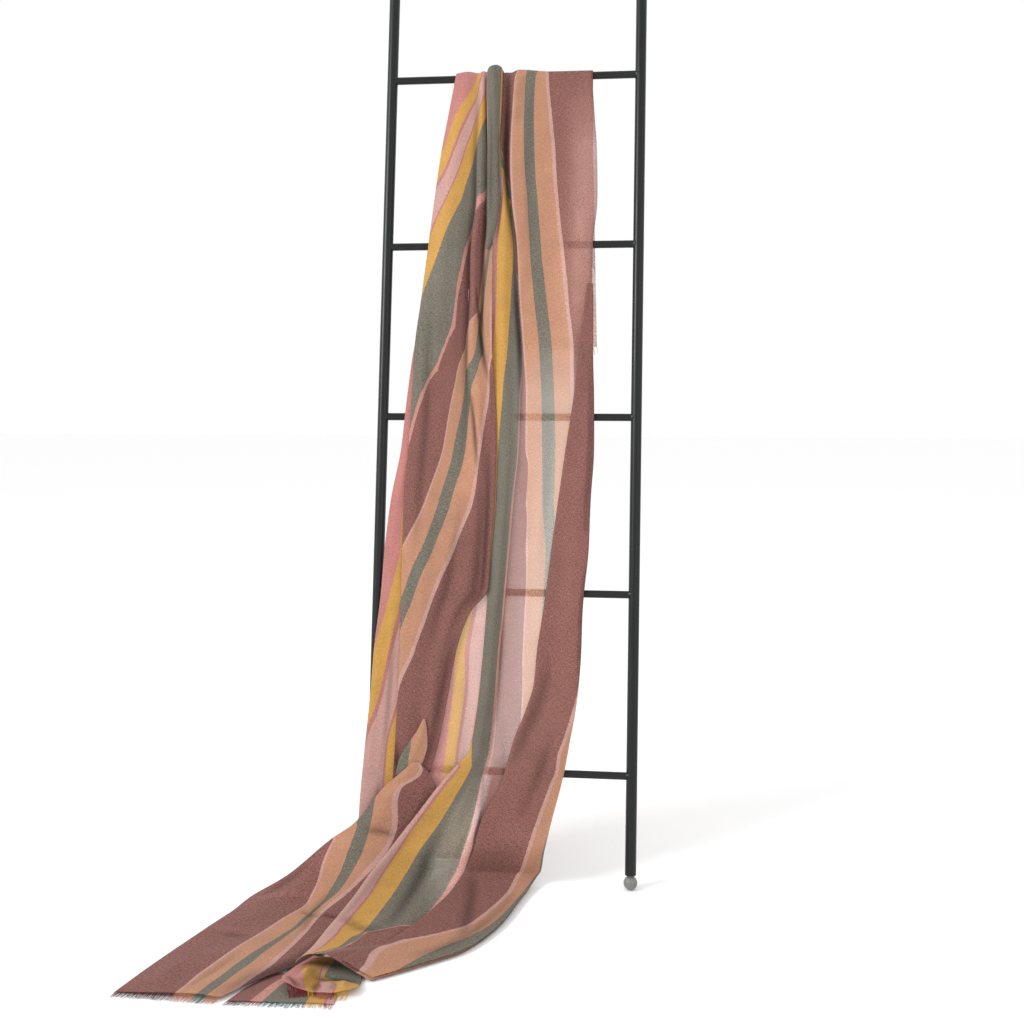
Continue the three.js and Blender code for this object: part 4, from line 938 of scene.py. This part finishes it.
# The rail's lower end, its end plug and the rung's weld bead: distance from the end and rise, in mm
frameSizes = {"lower": [(0, -0.8), (0.8, 0)], "short": 3,
              "plug": [(2.4, 0), (2.3, -0.5), (1.9, -0.5), (1.8, 0), (0.7, -0.5), (0, -2.2)],
              "bead": [(0, 1.9), (2.4, 1.6), (3.4, 0.9), (4.6, 0.3), (5.6, 0)]}
footHigh = ladderSizes["foot"] / leanCos
railStart = footHigh + ladderSizes["foot"] + ladderSizes["gap"]


def buildFrame(bm):
    rail, rung, bead = ladderSizes["rail"], ladderSizes["rung"], frameSizes["bead"]
    length = ladderSizes["length"] - railStart
    reach = ladderSizes["span"] - frameSizes["short"]
    for x in (-ladderSizes["span"], ladderSizes["span"]):
        turned(bm, onAxis(x, railStart), onAxis(x, ladderSizes["length"]),
               [(far, rail + rise) for far, rise in frameSizes["lower"]]
               + [(length - far, rail + rise) for far, rise in frameSizes["plug"]])
    for k in range(ladderSizes["rungs"]):
        t = ladderSizes["first"] + k * ladderSizes["pitch"]
        turned(bm, onAxis(-reach, t), onAxis(reach, t),
               [(far, rung + rise) for far, rise in bead]
               + [(2 * reach - far, rung + rise) for far, rise in bead[::-1]])


ladderNodes = ["rail_left", "rail_right"] + [f"rung_{k + 1}" for k in range(ladderSizes["rungs"])]
joinedPiece("ladderFrame", buildFrame, steelMaterial, ladderNodes)

# Feet: a ball from angle to angle, never thinner than least, and its neck as (distance on, radius)
footSizes = {"from": 4, "to": 150, "rings": 22, "least": 0.6, "neck": [(0.5, 5.2), (1.0, 5.9), (2.2, 6.0)],
             "mottle": 160.0, "dark": (96, 96, 94), "pale": (128, 127, 124), "bump": 0.1, "bumpDeep": 0.0004,
             "rough": 0.42}
foot = Nodes("footRubber")
mottle = foot.noise(foot.add("TexCoord").outputs["Object"], footSizes["mottle"], 3.0)
tint = foot.blend(mottle, linear(footSizes["dark"]), linear(footSizes["pale"]))
bump = foot.bump(mottle, footSizes["bump"], footSizes["bumpDeep"])
footMaterial = foot.show(foot.add("BsdfPrincipled", {"Base Color": tint, "Normal": bump},
                                  Roughness=footSizes["rough"]))


def buildFoot(s):
    def build(bm):
        r, base = ladderSizes["foot"], onAxis(s * ladderSizes["span"], footHigh)
        angles = np.radians(np.linspace(footSizes["from"], footSizes["to"], footSizes["rings"]))
        ball = [(r * (1 - math.cos(a)), max(r * math.sin(a), footSizes["least"])) for a in angles]
        neck = [(ball[-1][0] + far, radius) for far, radius in footSizes["neck"]]
        down = Vector((0, -leanSin, -leanCos))
        turned(bm, base + down * r, base - down * r, ball + neck)
    return build


joinedPiece("footLeft", buildFoot(-1), footMaterial, ["foot_left"])
joinedPiece("footRight", buildFoot(1), footMaterial, ["foot_right"])
print("stage: ladder")

# Studio: floor in metres, and lamps by name, place, aim, size and power
studioSizes = {"floor": 14, "paint": (253, 253, 253), "rough": 0.9, "shine": 0.1, "world": 1.0, "lamps": [
    ("key", (-2.3, -1.5, 2.1), (0.05, 0.1, 0.6), 1.0, 62), ("fill", (2.3, -1.9, 1.5), (0.1, 0.1, 0.5), 2.0, 8)]}
floorMesh = bpy.data.meshes.new("floor")
half = studioSizes["floor"]
corners = [(-half, -half, 0), (half, -half, 0), (half, half, 0), (-half, half, 0)]
floorMesh.from_pydata(corners, [], [(0, 1, 2, 3)])
floorLook = Nodes("paleFloor")
floorMesh.materials.append(floorLook.show(floorLook.add(
    "BsdfPrincipled", Roughness=studioSizes["rough"], Base_Color=linear(studioSizes["paint"]),
    Specular_IOR_Level=studioSizes["shine"])))
addObject("floor", floorMesh)

world = bpy.data.worlds.new("studio")
world.use_nodes = True
sky = world.node_tree.nodes["Background"].inputs
sky[0].default_value, sky[1].default_value = (1, 1, 1, 1), studioSizes["world"]
bpy.context.scene.world = world
for name, place, aim, size, power in studioSizes["lamps"]:
    data = bpy.data.lights.new(name, "AREA")
    data.size, data.energy = size, power
    lamp = addObject(name, data)
    lamp.location = place
    lamp.rotation_euler = (Vector(aim) - Vector(place)).to_track_quat("-Z", "Y").to_euler()
bpy.context.scene.view_settings.view_transform = "Standard"
print("stage: studio")
